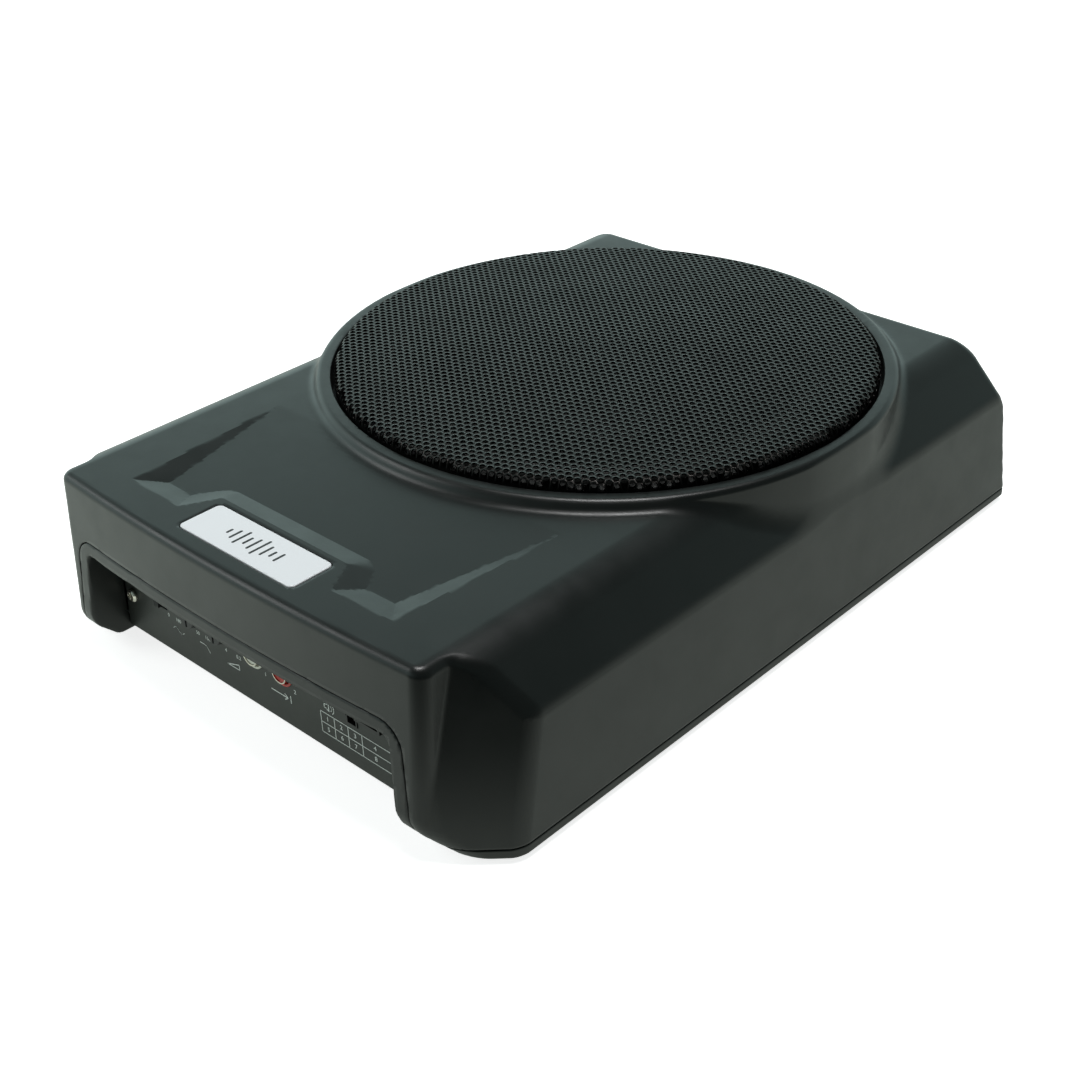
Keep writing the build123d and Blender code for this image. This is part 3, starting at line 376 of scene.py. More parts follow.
def gradient(distance, points, reach=0.02):
    """Unit normals of a distance field at points."""
    columns = []
    for axis in range(3):
        shift = np.zeros(3)
        shift[axis] = reach
        columns.append(distance(*(points + shift).T) - distance(*(points - shift).T))
    normals = np.stack(columns, 1)
    return normals / np.maximum(np.linalg.norm(normals, axis=1, keepdims=True), 1e-9)


def grid_points(lines, index):
    """Places of grid nodes given by their three indices."""
    return np.stack([lines[k][index[:, k]] for k in range(3)], 1)


def crossed_edges(inside, axis):
    """Start nodes of the grid edges along an axis that pass through the surface."""
    first = [slice(None)] * 3
    second = [slice(None)] * 3
    first[axis] = slice(0, -1)
    second[axis] = slice(1, None)
    index = np.argwhere(inside[tuple(first)] != inside[tuple(second)])
    usable = [(index[:, a] > 0) & (index[:, a] < inside.shape[a] - 1) for a in range(3) if a != axis]
    return index[np.all(usable, axis=0)]


def surface_points(distance, a, b, value_a, value_b):
    """Where the surface cuts each edge from a to b, by repeated linear interpolation."""
    for _ in range(4):
        share = np.clip(value_a / (value_a - value_b), 0.02, 0.98)
        point = a + (b - a) * share[:, None]
        value = distance(*point.T)
        same = (value < 0) == (value_a < 0)
        a = np.where(same[:, None], point, a)
        value_a = np.where(same, value, value_a)
        b = np.where(same[:, None], b, point)
        value_b = np.where(same, value_b, value)
    share = np.clip(value_a / (value_a - value_b), 0, 1)
    return a + (b - a) * share[:, None]


def cells_around(index, axis, strides):
    """Numbers of the four cells that share each edge, in turn round it."""
    u, v = [a for a in range(3) if a != axis]
    around = []
    for du, dv in ((0, 0), (-1, 0), (-1, -1), (0, -1)):
        cell = index.copy()
        cell[:, u] += du
        cell[:, v] += dv
        around.append(cell @ strides)
    return np.stack(around, 1)


def cell_vertices(points, normals, owner, count):
    """One vertex per cell, where the planes of its edge points meet."""
    def total(values):
        return np.bincount(owner, weights=values, minlength=count)

    amount = total(np.ones(len(owner)))
    centre = np.stack([total(points[:, k]) for k in range(3)], 1) / amount[:, None]
    offset = np.einsum("ij,ij->i", normals, points - centre[owner])
    matrix = np.zeros((count, 3, 3))
    vector = np.zeros((count, 3))
    for i in range(3):
        vector[:, i] = total(normals[:, i] * offset)
        for j in range(3):
            matrix[:, i, j] = total(normals[:, i] * normals[:, j])
    matrix += np.eye(3) * PULL_TO_CENTRE
    return centre + np.linalg.solve(matrix, vector[:, :, None])[:, :, 0]


def contour(distance, lines):
    """Dual contouring: vertices and quads of the zero surface, with its sharp edges kept."""
    field = distance(*np.meshgrid(*lines, indexing="ij"))
    inside = field < 0
    cells = np.array(field.shape) - 1
    strides = np.array([cells[1] * cells[2], cells[2], 1])
    edge_cells, edge_points, edge_flips = [], [], []
    for axis in range(3):
        index = crossed_edges(inside, axis)
        ends = index.copy()
        ends[:, axis] += 1
        edge_points.append(surface_points(distance, grid_points(lines, index), grid_points(lines, ends),
                                          field[tuple(index.T)], field[tuple(ends.T)]))
        edge_cells.append(cells_around(index, axis, strides))
        edge_flips.append(inside[tuple(index.T)] ^ (axis == 1))
    edge_cells = np.concatenate(edge_cells)
    edge_points = np.concatenate(edge_points)
    edge_flips = np.concatenate(edge_flips)
    normals = gradient(distance, edge_points)

    used, local = np.unique(edge_cells, return_inverse=True)
    local = local.reshape(edge_cells.shape)
    vertices = cell_vertices(np.repeat(edge_points, 4, axis=0), np.repeat(normals, 4, axis=0),
                             local.ravel(), len(used))
    cell = np.stack(np.unravel_index(used, cells), 1)
    vertices = np.clip(vertices, grid_points(lines, cell), grid_points(lines, cell + 1))
    quads = np.where(edge_flips[:, None], local, local[:, ::-1])
    return vertices, quads


def corner_normals(distance, vertices, quads):
    """Surface normal at each quad corner, taken a little inside the quad so that edges stay crisp."""
    corners = vertices[quads]
    centre = corners.mean(axis=1, keepdims=True)
    points = (corners * 0.75 + centre * 0.25).reshape(-1, 3)
    normals = gradient(distance, points)
    flat = np.cross(corners[:, 2] - corners[:, 0], corners[:, 3] - corners[:, 1])
    flat /= np.maximum(np.linalg.norm(flat, axis=1, keepdims=True), 1e-9)
    flat = np.repeat(flat, 4, axis=0)
    agree = np.einsum("ij,ij->i", normals, flat) > 0.5
    return np.where(agree[:, None], normals, flat)


def mesh_from_field(name, node, distance, lines):
    """Object from a distance field: contoured, thinned where it is flat, with true normals."""
    vertices, quads = contour(distance, lines)
    vertices = np.clip(vertices, low(node) + 0.01, high(node) - 0.01)
    normals = corner_normals(distance, vertices, quads)
    mesh = bpy.data.meshes.new(name)
    mesh.from_pydata((vertices * MM).tolist(), [], quads.tolist())
    mesh.update()
    stored = mesh.attributes.new("true_normal", "FLOAT_VECTOR", "CORNER")
    stored.data.foreach_set("vector", normals.astype(np.float32).ravel())
    bm = bmesh.new()
    bm.from_mesh(mesh)
    bmesh.ops.dissolve_limit(bm, angle_limit=math.radians(0.06), use_dissolve_boundaries=False,
                             verts=bm.verts, edges=bm.edges)
    bm.to_mesh(mesh)
    bm.free()
    loops = np.zeros(len(mesh.loops) * 3, np.float32)
    mesh.attributes["true_normal"].data.foreach_get("vector", loops)
    mesh.attributes.remove(mesh.attributes["true_normal"])
    mesh.polygons.foreach_set("use_smooth", np.ones(len(mesh.polygons), bool))
    mesh.normals_split_custom_set(loops.reshape(-1, 3).tolist())
    return link(mesh, name)


def link(mesh, name):
    """Object in the scene from a mesh."""
    piece = bpy.data.objects.new(name, mesh)
    bpy.context.scene.collection.objects.link(piece)
    return piece


# ================================================================ materials
def grey(value):
    """Neutral colour."""
    return [value, value, value, 1.0]


def scaled(colour, factor):
    """A colour made darker or lighter."""
    return [c * factor for c in colour[:3]] + [1.0]


class Nodes:
    """Short way to build a node tree."""

    def __init__(self, tree):
        self.tree = tree

    def add(self, kind, **settings):
        node = self.tree.nodes.new(kind)
        for key, value in settings.items():
            setattr(node, key, value)
        return node

    def feed(self, value, socket):
        """Link an output to a socket, or set the socket to a number or a colour."""
        if isinstance(value, bpy.types.NodeSocket):
            self.tree.links.new(value, socket)
        else:
            socket.default_value = value

    def math(self, operation, first, second):
        node = self.add("ShaderNodeMath", operation=operation)
        self.feed(first, node.inputs[0])
        self.feed(second, node.inputs[1])
        return node.outputs["Value"]

    def change(self, value, start, end, first, last):
        """Value that goes from first to last while the source goes from start to end."""
        node = self.add("ShaderNodeMapRange")
        settings = {"Value": value, "From Min": start, "From Max": end, "To Min": first, "To Max": last}
        for socket, setting in settings.items():
            self.feed(setting, node.inputs[socket])
        return node.outputs["Result"]

    def mix(self, share, first, second):
        node = self.add("ShaderNodeMixRGB")
        self.feed(share, node.inputs["Fac"])
        self.feed(first, node.inputs["Color1"])
        self.feed(second, node.inputs["Color2"])
        return node.outputs["Color"]

    def ramp(self, value, stops):
        node = self.add("ShaderNodeValToRGB")
        while len(node.color_ramp.elements) < len(stops):
            node.color_ramp.elements.new(0.5)
        for element, (position, colour) in zip(node.color_ramp.elements, stops):
            element.position = position
            element.color = colour
        self.feed(value, node.inputs["Fac"])
        return node.outputs["Color"]


class Shader(Nodes):
    """A material with one principled surface, textured in the object's own space."""

    def __init__(self, name):
        self.material = bpy.data.materials.new(name)
        self.material.use_nodes = True
        super().__init__(self.material.node_tree)
        self.tree.nodes.clear()
        self.surface = self.add("ShaderNodeBsdfPrincipled")
        self.feed(self.surface.outputs["BSDF"], self.add("ShaderNodeOutputMaterial").inputs["Surface"])
        self.place = self.add("ShaderNodeTexCoord").outputs["Object"]

    def texture(self, kind, place=None, **settings):
        node = self.add("ShaderNodeTex" + kind)
        self.feed(place or self.place, node.inputs["Vector"])
        for key, value in settings.items():
            if key == "bands_direction":
                node.bands_direction = value
            else:
                node.inputs[key.replace("_", " ")].default_value = value
        return node

    def noise(self, scale, detail=4.0, rough=0.5):
        return self.texture("Noise", Scale=scale, Detail=detail, Roughness=rough).outputs["Fac"]

    def bump(self, height, strength, distance):
        node = self.add("ShaderNodeBump")
        node.inputs["Strength"].default_value = strength
        node.inputs["Distance"].default_value = distance
        self.feed(height, node.inputs["Height"])
        self.feed(node.outputs["Normal"], self.surface.inputs["Normal"])

    def set(self, **values):
        for key, value in values.items():
            self.feed(value, self.surface.inputs[key.replace("_", " ")])


def moulded_plastic(name, colour, rough, grain_scale=2600.0, grain=0.25):
    """Satin moulded plastic: fine spark grain, faint mottling and uneven gloss."""
    shader = Shader(name)
    tone = shader.ramp(shader.noise(9.0, 3.0), [(0.3, scaled(colour, 0.85)), (0.7, scaled(colour, 1.15))])
    gloss = shader.noise(60.0, 6.0, 0.6)
    spread = shader.ramp(gloss, [(0.3, grey(rough - 0.04)), (0.75, grey(rough + 0.06))])
    shader.set(Base_Color=tone, Roughness=spread, IOR=1.5)
    shader.bump(shader.noise(grain_scale, 2.0), grain, 0.00004)
    return shader.material


def painted_steel(name, colour, rough, peel=0.12, shine=0.5, tint=(1, 1, 1, 1)):
    """Powder coat: slight orange peel over steel."""
    shader = Shader(name)
    spread = shader.ramp(shader.noise(40.0, 3.0), [(0.3, grey(rough)), (0.8, grey(rough + 0.1))])
    shader.set(Base_Color=colour, Roughness=spread, IOR=1.5, Specular_IOR_Level=shine, Specular_Tint=tint)
    shader.bump(shader.noise(900.0, 3.0), peel, 0.00005)
    return shader.material


def metal(name, colour, rough, brush_scale=(1.0, 1.0, 1.0)):
    """Bare metal with fine directional brushing and uneven gloss."""
    shader = Shader(name)
    stretch = shader.add("ShaderNodeMapping")
    stretch.inputs["Scale"].default_value = brush_scale
    shader.feed(shader.place, stretch.inputs["Vector"])
    lines = shader.texture("Noise", stretch.outputs["Vector"], Scale=700.0, Detail=4.0).outputs["Fac"]
    tone = shader.ramp(lines, [(0.25, scaled(colour, 0.9)), (0.8, colour)])
    spread = shader.ramp(lines, [(0.2, grey(rough)), (0.8, grey(rough + 0.12))])
    shader.set(Base_Color=tone, Roughness=spread, Metallic=1.0)
    shader.bump(lines, 0.1, 0.00002)
    return shader.material


def soft_rubber(name, colour, rough):
    """Matt rubber with a dusty bloom."""
    shader = Shader(name)
    light = [min(c * 1.9 + 0.004, 1) for c in colour[:3]] + [1.0]
    tone = shader.ramp(shader.noise(55.0, 6.0, 0.65), [(0.35, colour), (0.85, light)])
    shader.set(Base_Color=tone, Roughness=rough, Sheen_Weight=0.1)
    shader.bump(shader.noise(1500.0, 3.0), 0.3, 0.00005)
    return shader.material


def foam(name, brightness):
    """Open-cell foam: a cell pattern in colour and height."""
    shader = Shader(name)
    cells = shader.texture("Voronoi", Scale=900.0).outputs["Distance"]
    tone = shader.ramp(cells, [(0.1, grey(brightness * 0.3)), (0.7, grey(brightness))])
    shader.set(Base_Color=tone, Roughness=0.95)
    shader.bump(cells, 0.8, 0.0004)
    return shader.material


def woven_cloth(name, colour):
    """Resin-stiffened cloth: two crossing thread waves."""
    shader = Shader(name)
    threads = [shader.texture("Wave", bands_direction=direction, Scale=420.0, Distortion=0.4)
               for direction in ("X", "Y")]
    shader.set(Base_Color=colour, Roughness=0.85)
    shader.bump(shader.math("MULTIPLY", *[t.outputs["Fac"] for t in threads]), 0.7, 0.0003)
    return shader.material


def paper_pulp(name, colour):
    """Pressed pulp: long fibres and soft mottling."""
    shader = Shader(name)
    fibres = shader.texture("Noise", Scale=260.0, Detail=8.0, Distortion=1.6).outputs["Fac"]
    tone = shader.ramp(fibres, [(0.35, scaled(colour, 0.7)), (0.7, scaled(colour, 1.6))])
    shader.set(Base_Color=tone, Roughness=0.62)
    shader.bump(fibres, 0.5, 0.0002)
    return shader.material


def wound_copper(name, colour):
    """Close turns of enamelled wire."""
    shader = Shader(name)
    turns = shader.texture("Wave", bands_direction="Z", Scale=900.0, Distortion=0.3).outputs["Fac"]
    tone = shader.ramp(turns, [(0.1, scaled(colour, 0.35)), (0.6, colour)])
    shader.set(Base_Color=tone, Metallic=0.9, Roughness=0.3)
    shader.bump(turns, 0.8, 0.0002)
    return shader.material


def circuit_board(name):
    """Green solder mask with copper tracks showing through it."""
    shader = Shader(name)
    tracks = shader.texture("Brick", Scale=60.0, Mortar_Size=0.03, Color1=[0.010, 0.070, 0.030, 1],
                            Color2=[0.014, 0.085, 0.036, 1], Mortar=[0.060, 0.190, 0.060, 1])
    shader.set(Base_Color=tracks.outputs["Color"], Roughness=0.35)
    shader.bump(tracks.outputs["Fac"], 0.4, 0.0001)
    return shader.material


def sintered_ferrite(name):
    """Dark grey ceramic with a granular surface."""
    shader = Shader(name)
    grains = shader.noise(700.0, 6.0, 0.7)
    tone = shader.ramp(grains, [(0.3, grey(0.025)), (0.75, grey(0.07))])
    shader.set(Base_Color=tone, Roughness=0.6, Metallic=0.2)
    shader.bump(grains, 0.4, 0.0001)
    return shader.material


# what each material slot of the record is made of: kind of material, colour, roughness and the rest
FINISHES = {
    "shell_plastic": (moulded_plastic, [0.0086, 0.0103, 0.0096, 1], 0.35),
    "tray_plastic": (moulded_plastic, [0.0090, 0.0106, 0.0098, 1], 0.39),
    "panel_plastic": (moulded_plastic, [0.0180, 0.0205, 0.0180, 1], 0.45, 1800.0, 0.35),
    "foam": (foam, 0.03),
    "black_screw": (metal, [0.035, 0.035, 0.038, 1], 0.35),
    "nickel": (metal, [0.74, 0.70, 0.62, 1], 0.18),
    "brass": (metal, [0.72, 0.50, 0.19, 1], 0.25),
    "foot_rubber": (soft_rubber, [0.010, 0.010, 0.010, 1], 0.75),
    "badge_metal": (painted_steel, [0.93, 0.93, 0.96, 1], 0.30, 0.05),
    "grille_steel": (painted_steel, [0.0045, 0.0045, 0.0045, 1], 0.30, 0.12, 0.33, (1.0, 0.93, 0.88, 1)),
    "basket_steel": (painted_steel, [0.012, 0.012, 0.013, 1], 0.35),
    "surround_rubber": (soft_rubber, [0.040, 0.042, 0.040, 1], 0.42),
    "cone_pulp": (paper_pulp, [0.030, 0.032, 0.032, 1]),
    "former_foil": (metal, [0.80, 0.80, 0.80, 1], 0.25),
    "copper": (wound_copper, [0.85, 0.38, 0.18, 1]),
    "spider_cloth": (woven_cloth, [0.45, 0.30, 0.10, 1]),
    "plated_steel": (metal, [0.60, 0.60, 0.58, 1], 0.30),
    "ferrite": (sintered_ferrite,),
    "phenolic": (moulded_plastic, [0.16, 0.075, 0.030, 1], 0.5),
    "wire_red": (moulded_plastic, [0.42, 0.012, 0.010, 1], 0.40),
    "wire_black": (moulded_plastic, [0.012, 0.012, 0.012, 1], 0.40),
    "black_nylon": (moulded_plastic, [0.008, 0.008, 0.008, 1], 0.38),
    "white_plastic": (moulded_plastic, [0.74, 0.72, 0.64, 1], 0.35),
    "red_plastic": (moulded_plastic, [0.46, 0.020, 0.014, 1], 0.35),
    "board_green": (circuit_board,),
    "capacitor_sleeve": (moulded_plastic, [0.018, 0.022, 0.045, 1], 0.25),
    "chip_epoxy": (moulded_plastic, [0.014, 0.014, 0.015, 1], 0.55, 1500.0, 0.4),
    "sink_aluminium": (metal, [0.70, 0.71, 0.72, 1], 0.32, (1, 25, 25)),
    "knob_plastic": (moulded_plastic, [0.009, 0.009, 0.010, 1], 0.42),
}
MATERIALS = {name: make(name, *settings) for name, (make, *settings) in FINISHES.items()}
PRINT_WHITE = moulded_plastic("print_white", [0.80, 0.82, 0.80, 1], 0.55)
PRINT_DARK = moulded_plastic("print_dark", [0.020, 0.020, 0.022, 1], 0.40)


# ================================================================ building pieces
def finish_piece(piece, body, slot, replaced=None, material=None):
    """Give a piece its material, let it ride on its body and hide the CAD node it stands in for."""
    piece.data.materials.clear()
    piece.data.materials.append(material or MATERIALS[slot])
    if body is not None:
        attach(piece, body)
    if replaced is not None:
        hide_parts(replaced)
    return piece


WELD = 1e-7                               # in metres: points closer than this are one
BEVEL_ANGLE = math.radians(35)            # CAD shapes have their sharper edges broken


def closed_object(name, vertices, faces, weld=0.0):
    """Object from a closed mesh, its faces turned outwards and points closer than weld joined."""
    mesh = bpy.data.meshes.new(name)
    mesh.from_pydata(vertices, [], faces)
    bm = bmesh.new()
    bm.from_mesh(mesh)
    if weld > 0:
        bmesh.ops.remove_doubles(bm, verts=bm.verts, dist=weld)
    bmesh.ops.recalc_face_normals(bm, faces=bm.faces)
    bm.to_mesh(mesh)
    bm.free()
    return link(mesh, name)


def lathe(name, profile, steps):
    """Surface of revolution round the woofer's axis from (radius, z) points."""
    profile = np.array(profile, float)
    turns = np.linspace(0, 2 * math.pi, steps, endpoint=False)
    x = profile[None, :, 0] * np.cos(turns)[:, None]
    y = WOOFER_Y + profile[None, :, 0] * np.sin(turns)[:, None]
    z = np.broadcast_to(profile[None, :, 1], x.shape)
    vertices = np.stack([x, y, z], 2).reshape(-1, 3) * MM
    count = len(profile)
    faces = []
    for i in range(steps):
        j = (i + 1) % steps
        for k in range(count):
            m = (k + 1) % count
            faces.append((i * count + k, j * count + k, j * count + m, i * count + m))
    return closed_object(name, vertices.tolist(), faces, WELD)


def smooth(piece, angle):
    """Smooth shading except across edges sharper than the angle."""
    mesh = piece.data
    mesh.polygons.foreach_set("use_smooth", np.ones(len(mesh.polygons), bool))
    mesh.set_sharp_from_angle(angle=math.radians(angle))
    return piece


def refined(node, slot, bevel):
    """A CAD node's shape with its sharp edges broken, as a moulded or turned part has them."""
    source = frame["nodes"][node]
    mesh = source.data.copy()
    mesh.materials.clear()
    bm = bmesh.new()
    bm.from_mesh(mesh)
    bmesh.ops.remove_doubles(bm, verts=bm.verts, dist=WELD)
    bmesh.ops.dissolve_limit(bm, angle_limit=math.radians(0.3), verts=bm.verts, edges=bm.edges)
    if bevel > 0:
        sharp = [e for e in bm.edges
                 if len(e.link_faces) == 2 and e.calc_face_angle(0) > BEVEL_ANGLE]
        bmesh.ops.bevel(bm, geom=sharp, offset=bevel * MM, segments=2, profile=0.5,
                        affect="EDGES", clamp_overlap=True)
    bm.to_mesh(mesh)
    bm.free()
    piece = link(mesh, node + "_finished")
    if mesh.has_custom_normals:
        with bpy.context.temp_override(object=piece, active_object=piece):
            bpy.ops.mesh.customdata_custom_splitnormals_clear()
    smooth(piece, 42.0)
    weighted = piece.modifiers.new("even_shading", "WEIGHTED_NORMAL")
    weighted.keep_sharp = True
    return finish_piece(piece, source["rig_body"], slot, node)


def distance_from_axis(piece):
    """Each vertex's distance from the woofer's axis, in millimetres."""
    places = np.array([v.co for v in piece.data.vertices]) / MM
    return np.hypot(places[:, 0], places[:, 1] - WOOFER_Y)


def flex_with_cone(piece, moving_radius, still_radius):
    """Bakes the piece's placement and works out each vertex's share between the two radii; nothing uses
    that share.
    """
    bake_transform(piece)
    share = (still_radius - distance_from_axis(piece)) / (still_radius - moving_radius)
    share = np.clip(share, 0, 1)


# ================================================================ cabinet
COARSE, FINE = ((2.2, 1.4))      # steps of the grid
MARGIN = 3                # how far the grid reaches past the cabinet
EDGE_ZONE = 8             # widths of the fine zones at the side, front and back walls
FRONT_ZONE = 46
BACK_ZONE = 20
NOSE_ZONE = (86, 108)     # from inside the frame to the nose's side
SHOULDER_ZONE = (45, 62)


def shell_grid(low_z, high_z, fine_z):
    """Grid lines for the cabinet shells, closer at the outer walls, the frame and the nose."""
    side = HALF_WIDTH + MARGIN
    inner, outer = NOSE_ZONE
    side_zones = [(-side, -HALF_WIDTH + EDGE_ZONE, FINE), (-outer, -inner, FINE), (inner, outer, FINE),
                  (HALF_WIDTH - EDGE_ZONE, side, FINE)]
    front_y = FRONT_Y - FRONT_BOW
    front_zones = [(front_y - MARGIN, front_y + FRONT_ZONE, FINE),
                   (BACK_Y - BACK_ZONE, BACK_Y + MARGIN, FINE)]
    return [graded(-side, side, COARSE, side_zones),
            graded(front_y - MARGIN, BACK_Y + MARGIN, COARSE, front_zones),
            graded(low_z, high_z, COARSE, fine_z)]


def top_shell():
    """Upper shell, finer at the seam, the shoulders and the flat top."""
    zones = [(SEAM_Z - 2, SEAM_Z + 2, 0.8), (*SHOULDER_ZONE, 1.3), (PLATEAU_Z - 4, PLATEAU_Z + 8, 0.7)]
    lines = shell_grid(SEAM_Z - 2, RING_TOP_Z + 2, zones)
    piece = mesh_from_field("top_shell_skin", "top_shell", top_shell_distance, lines)
    finish_piece(piece, "cabinet", "shell_plastic", "top_shell")


def bottom_shell():
    """Lower shell, finer in the tray and at the top of the arch."""
    zones = [(TRAY_LOW_Z - 2, SEAM_Z + 1, 0.6), (40, 60, 1.2)]
    lines = shell_grid(TRAY_LOW_Z - 2, FRAME_TOP_Z + 3, zones)
    piece = mesh_from_field("bottom_shell_skin", "bottom_shell", bottom_shell_distance, lines)
    finish_piece(piece, "cabinet", "tray_plastic", "bottom_shell")


BAR_HEIGHTS = [3.4, 6.6, 9.6, 5.4, 8.0, 11.0, 7.2, 4.2, 6.0]
BAR_PITCH = 3.6
BAR_HALF_WIDTH = 0.55


def badge():
    """White plate with a generic row of level bars."""
    refined("badge_plate", "badge_metal", 0.25)
    centre_x, centre_y = middle("badge_plate")[:2]
    outlines = []
    for i, height in enumerate(BAR_HEIGHTS):
        bar_x = centre_x + (i - (len(BAR_HEIGHTS) - 1) / 2) * BAR_PITCH
        outlines.append(pill(bar_x, centre_y, BAR_HALF_WIDTH, height / 2))
    bars = raised_shapes("badge_bars", outlines, BADGE_HIGH[2] - 0.02, BADGE_HIGH[2] + 0.04)
    finish_piece(bars, "cabinet", "badge_metal", None, PRINT_DARK)


def pill(x, y, radius, half_length):
    """Outline of an upright bar with round ends."""
    points = []
    for end, start in ((1, 0.0), (-1, math.pi)):
        for k in range(9):
            turn = start + math.pi * k / 8
            points.append((x + radius * math.cos(turn),
                           y + end * (half_length - radius) + radius * math.sin(turn)))
    return points


def raised_shapes(name, outlines, low_z, high_z, place=lambda x, y, z: (x, y, z)):
    """Closed flat shapes, each an outline drawn between two heights."""
    vertices, faces = [], []
    for outline in outlines:
        first, count = len(vertices), len(outline)
        for height in (low_z, high_z):
            vertices += [Vector(place(x, y, height)) * MM for x, y in outline]
        faces.append(tuple(first + k for k in reversed(range(count))))
        faces.append(tuple(first + count + k for k in range(count)))
        for k in range(count):
            m = (k + 1) % count
            faces.append((first + k, first + m, first + count + m, first + count + k))
    return closed_object(name, vertices, faces)


# ================================================================ grille
MESH_PITCH = 3.35
HOLE_RADIUS = 1.22
HOLE_SIDES = 7
SHEET = 0.8               # thickness
ROLL_RADIUS = 3.6         # of the bent edge
DOME_RISE = GRILLE_TOP_Z - GRILLE_FOOT_Z - 9.0
LATTICE_TURN = math.radians(20.0)
CELL_CORNERS = np.array([(1, 1), (-1, 2), (-2, 1), (-1, -1), (1, -2), (2, -1)])    # in thirds of a pitch
FLAT_REACH = GRILLE_RADIUS - ROLL_RADIUS
ROLL_END = FLAT_REACH + ROLL_RADIUS * math.pi / 2
HOLES_END = ROLL_END + 0.9


def pressed_sheet(reach, turn, depth):
    """Place on the pressed grille: reach is measured along the sheet from its middle."""
    on_dome = np.minimum(reach, FLAT_REACH)
    slope = 2 * DOME_RISE * on_dome / FLAT_REACH ** 2
    roll = np.clip((reach - FLAT_REACH) / ROLL_RADIUS, 0, math.pi / 2)
    tilt = np.maximum(roll, np.arctan(slope) * (roll == 0))
    radius = on_dome + ROLL_RADIUS * np.sin(roll)
    z = GRILLE_TOP_Z - DOME_RISE * (on_dome / FLAT_REACH) ** 2
    z = z - ROLL_RADIUS * (1 - np.cos(roll)) - np.maximum(reach - ROLL_END, 0)
    radius = radius - depth * np.sin(tilt)
    z = z - depth * np.cos(tilt)
    return np.stack([radius * np.cos(turn), WOOFER_Y + radius * np.sin(turn), z], 1) * MM


def grille_cells():
    """Six-cornered cells of the hole pattern: their middles, corner places, corner numbers and rim."""
    turns = [LATTICE_TURN, LATTICE_TURN + math.pi / 3]
    lattice = MESH_PITCH * np.array([[math.cos(turn), math.sin(turn)] for turn in turns])
    count = int(HOLES_END / MESH_PITCH * 1.3)
    steps = np.arange(-count, count + 1)
    cells = np.stack(np.meshgrid(steps, steps, indexing="ij"), -1).reshape(-1, 2)
    cells = cells[np.hypot(*(cells @ lattice).T) < HOLES_END - MESH_PITCH * 0.5]
    corners = (3 * cells[:, None] + CELL_CORNERS[None]).reshape(-1, 2)
    places, numbers, uses = np.unique(corners, axis=0, return_inverse=True, return_counts=True)
    return cells @ lattice, places @ lattice / 3, numbers.reshape(-1, 6), uses < 3


def around_hole(corners, hole):
    """Triangles between a cell's corners and the hole in it, both counter-clockwise."""
    faces = []
    o = i = 0
    while o < 6 or i < HOLE_SIDES:
        corner, point = corners[o % 6], hole[i % HOLE_SIDES]
        if i >= HOLE_SIDES or (o < 6 and (o + 1) / 6 <= (i + 1) / HOLE_SIDES):
            faces.append([corner, corners[(o + 1) % 6], point])
            o += 1
        else:
            faces.append([corner, hole[(i + 1) % HOLE_SIDES], point])
            i += 1
    return faces


def grille():
    """Perforated steel pan: every hole goes through the sheet, and its shading has rolled lips."""
    middles, corners, cells, rim = grille_cells()
    first_corner = LATTICE_TURN + math.pi / 6
    hole_turns = first_corner + (np.arange(HOLE_SIDES) + 0.5) * 2 * math.pi / HOLE_SIDES
    hole_steps = np.stack([np.cos(hole_turns), np.sin(hole_turns)], 1) * HOLE_RADIUS
    holes = (middles[:, None] + hole_steps[None]).reshape(-1, 2)
    places = np.concatenate([corners, holes])
    reach = np.hypot(*places.T)
    reach[np.flatnonzero(rim)] = HOLES_END
    turn = np.arctan2(places[:, 1], places[:, 0])
    layer = len(places)
    faces = []
    for number, ring in enumerate(cells):
        hole = len(corners) + number * HOLE_SIDES + np.arange(HOLE_SIDES)
        for triangle in around_hole(ring, hole):
            faces.append(triangle)
            faces.append([v + layer for v in reversed(triangle)])
        for k in range(HOLE_SIDES):
            m = (k + 1) % HOLE_SIDES
            faces.append([hole[m], hole[k], hole[k] + layer, hole[m] + layer])

    edge = np.flatnonzero(rim)
    edge = edge[np.argsort(turn[edge])]
    size = len(edge)
    foot_reach = np.full(size, ROLL_END + GRILLE_TOP_Z - DOME_RISE - ROLL_RADIUS - GRILLE_FOOT_Z)
    foot = 2 * layer
    for k in range(size):
        m = (k + 1) % size
        a, b = edge[k], edge[m]
        faces.append([a, foot + k, foot + m, b])
        faces.append([b + layer, foot + size + m, foot + size + k, a + layer])
        faces.append([foot + k, foot + size + k, foot + size + m, foot + m])
    vertices = [pressed_sheet(reach, turn, 0.0), pressed_sheet(reach, turn, SHEET),
                pressed_sheet(foot_reach, turn[edge], 0.0), pressed_sheet(foot_reach, turn[edge], SHEET)]
    mesh = bpy.data.meshes.new("grille_mesh")
    mesh.from_pydata(np.concatenate(vertices).tolist(), [], [[int(v) for v in f] for f in faces])
    piece = smooth(link(mesh, "grille_pressed"), 120.0)
    finish_piece(piece, "cabinet", "grille_steel", "grille")


# ================================================================ woofer
CONE_RIM_RADIUS = high("cone")[0]
CONE_RIM_Z = high("cone")[2]
CONE_NECK_Z = 55.0
FORMER_RADIUS = high("voice_coil_former")[0]
SURROUND_LOW_Z = low("surround")[2]
SURROUND_TOP_Z = high("surround")[2]
SURROUND_RADIUS = high("surround")[0]
ROLL_INNER = CONE_RIM_RADIUS + 0.4
ROLL_OUTER = 103.6


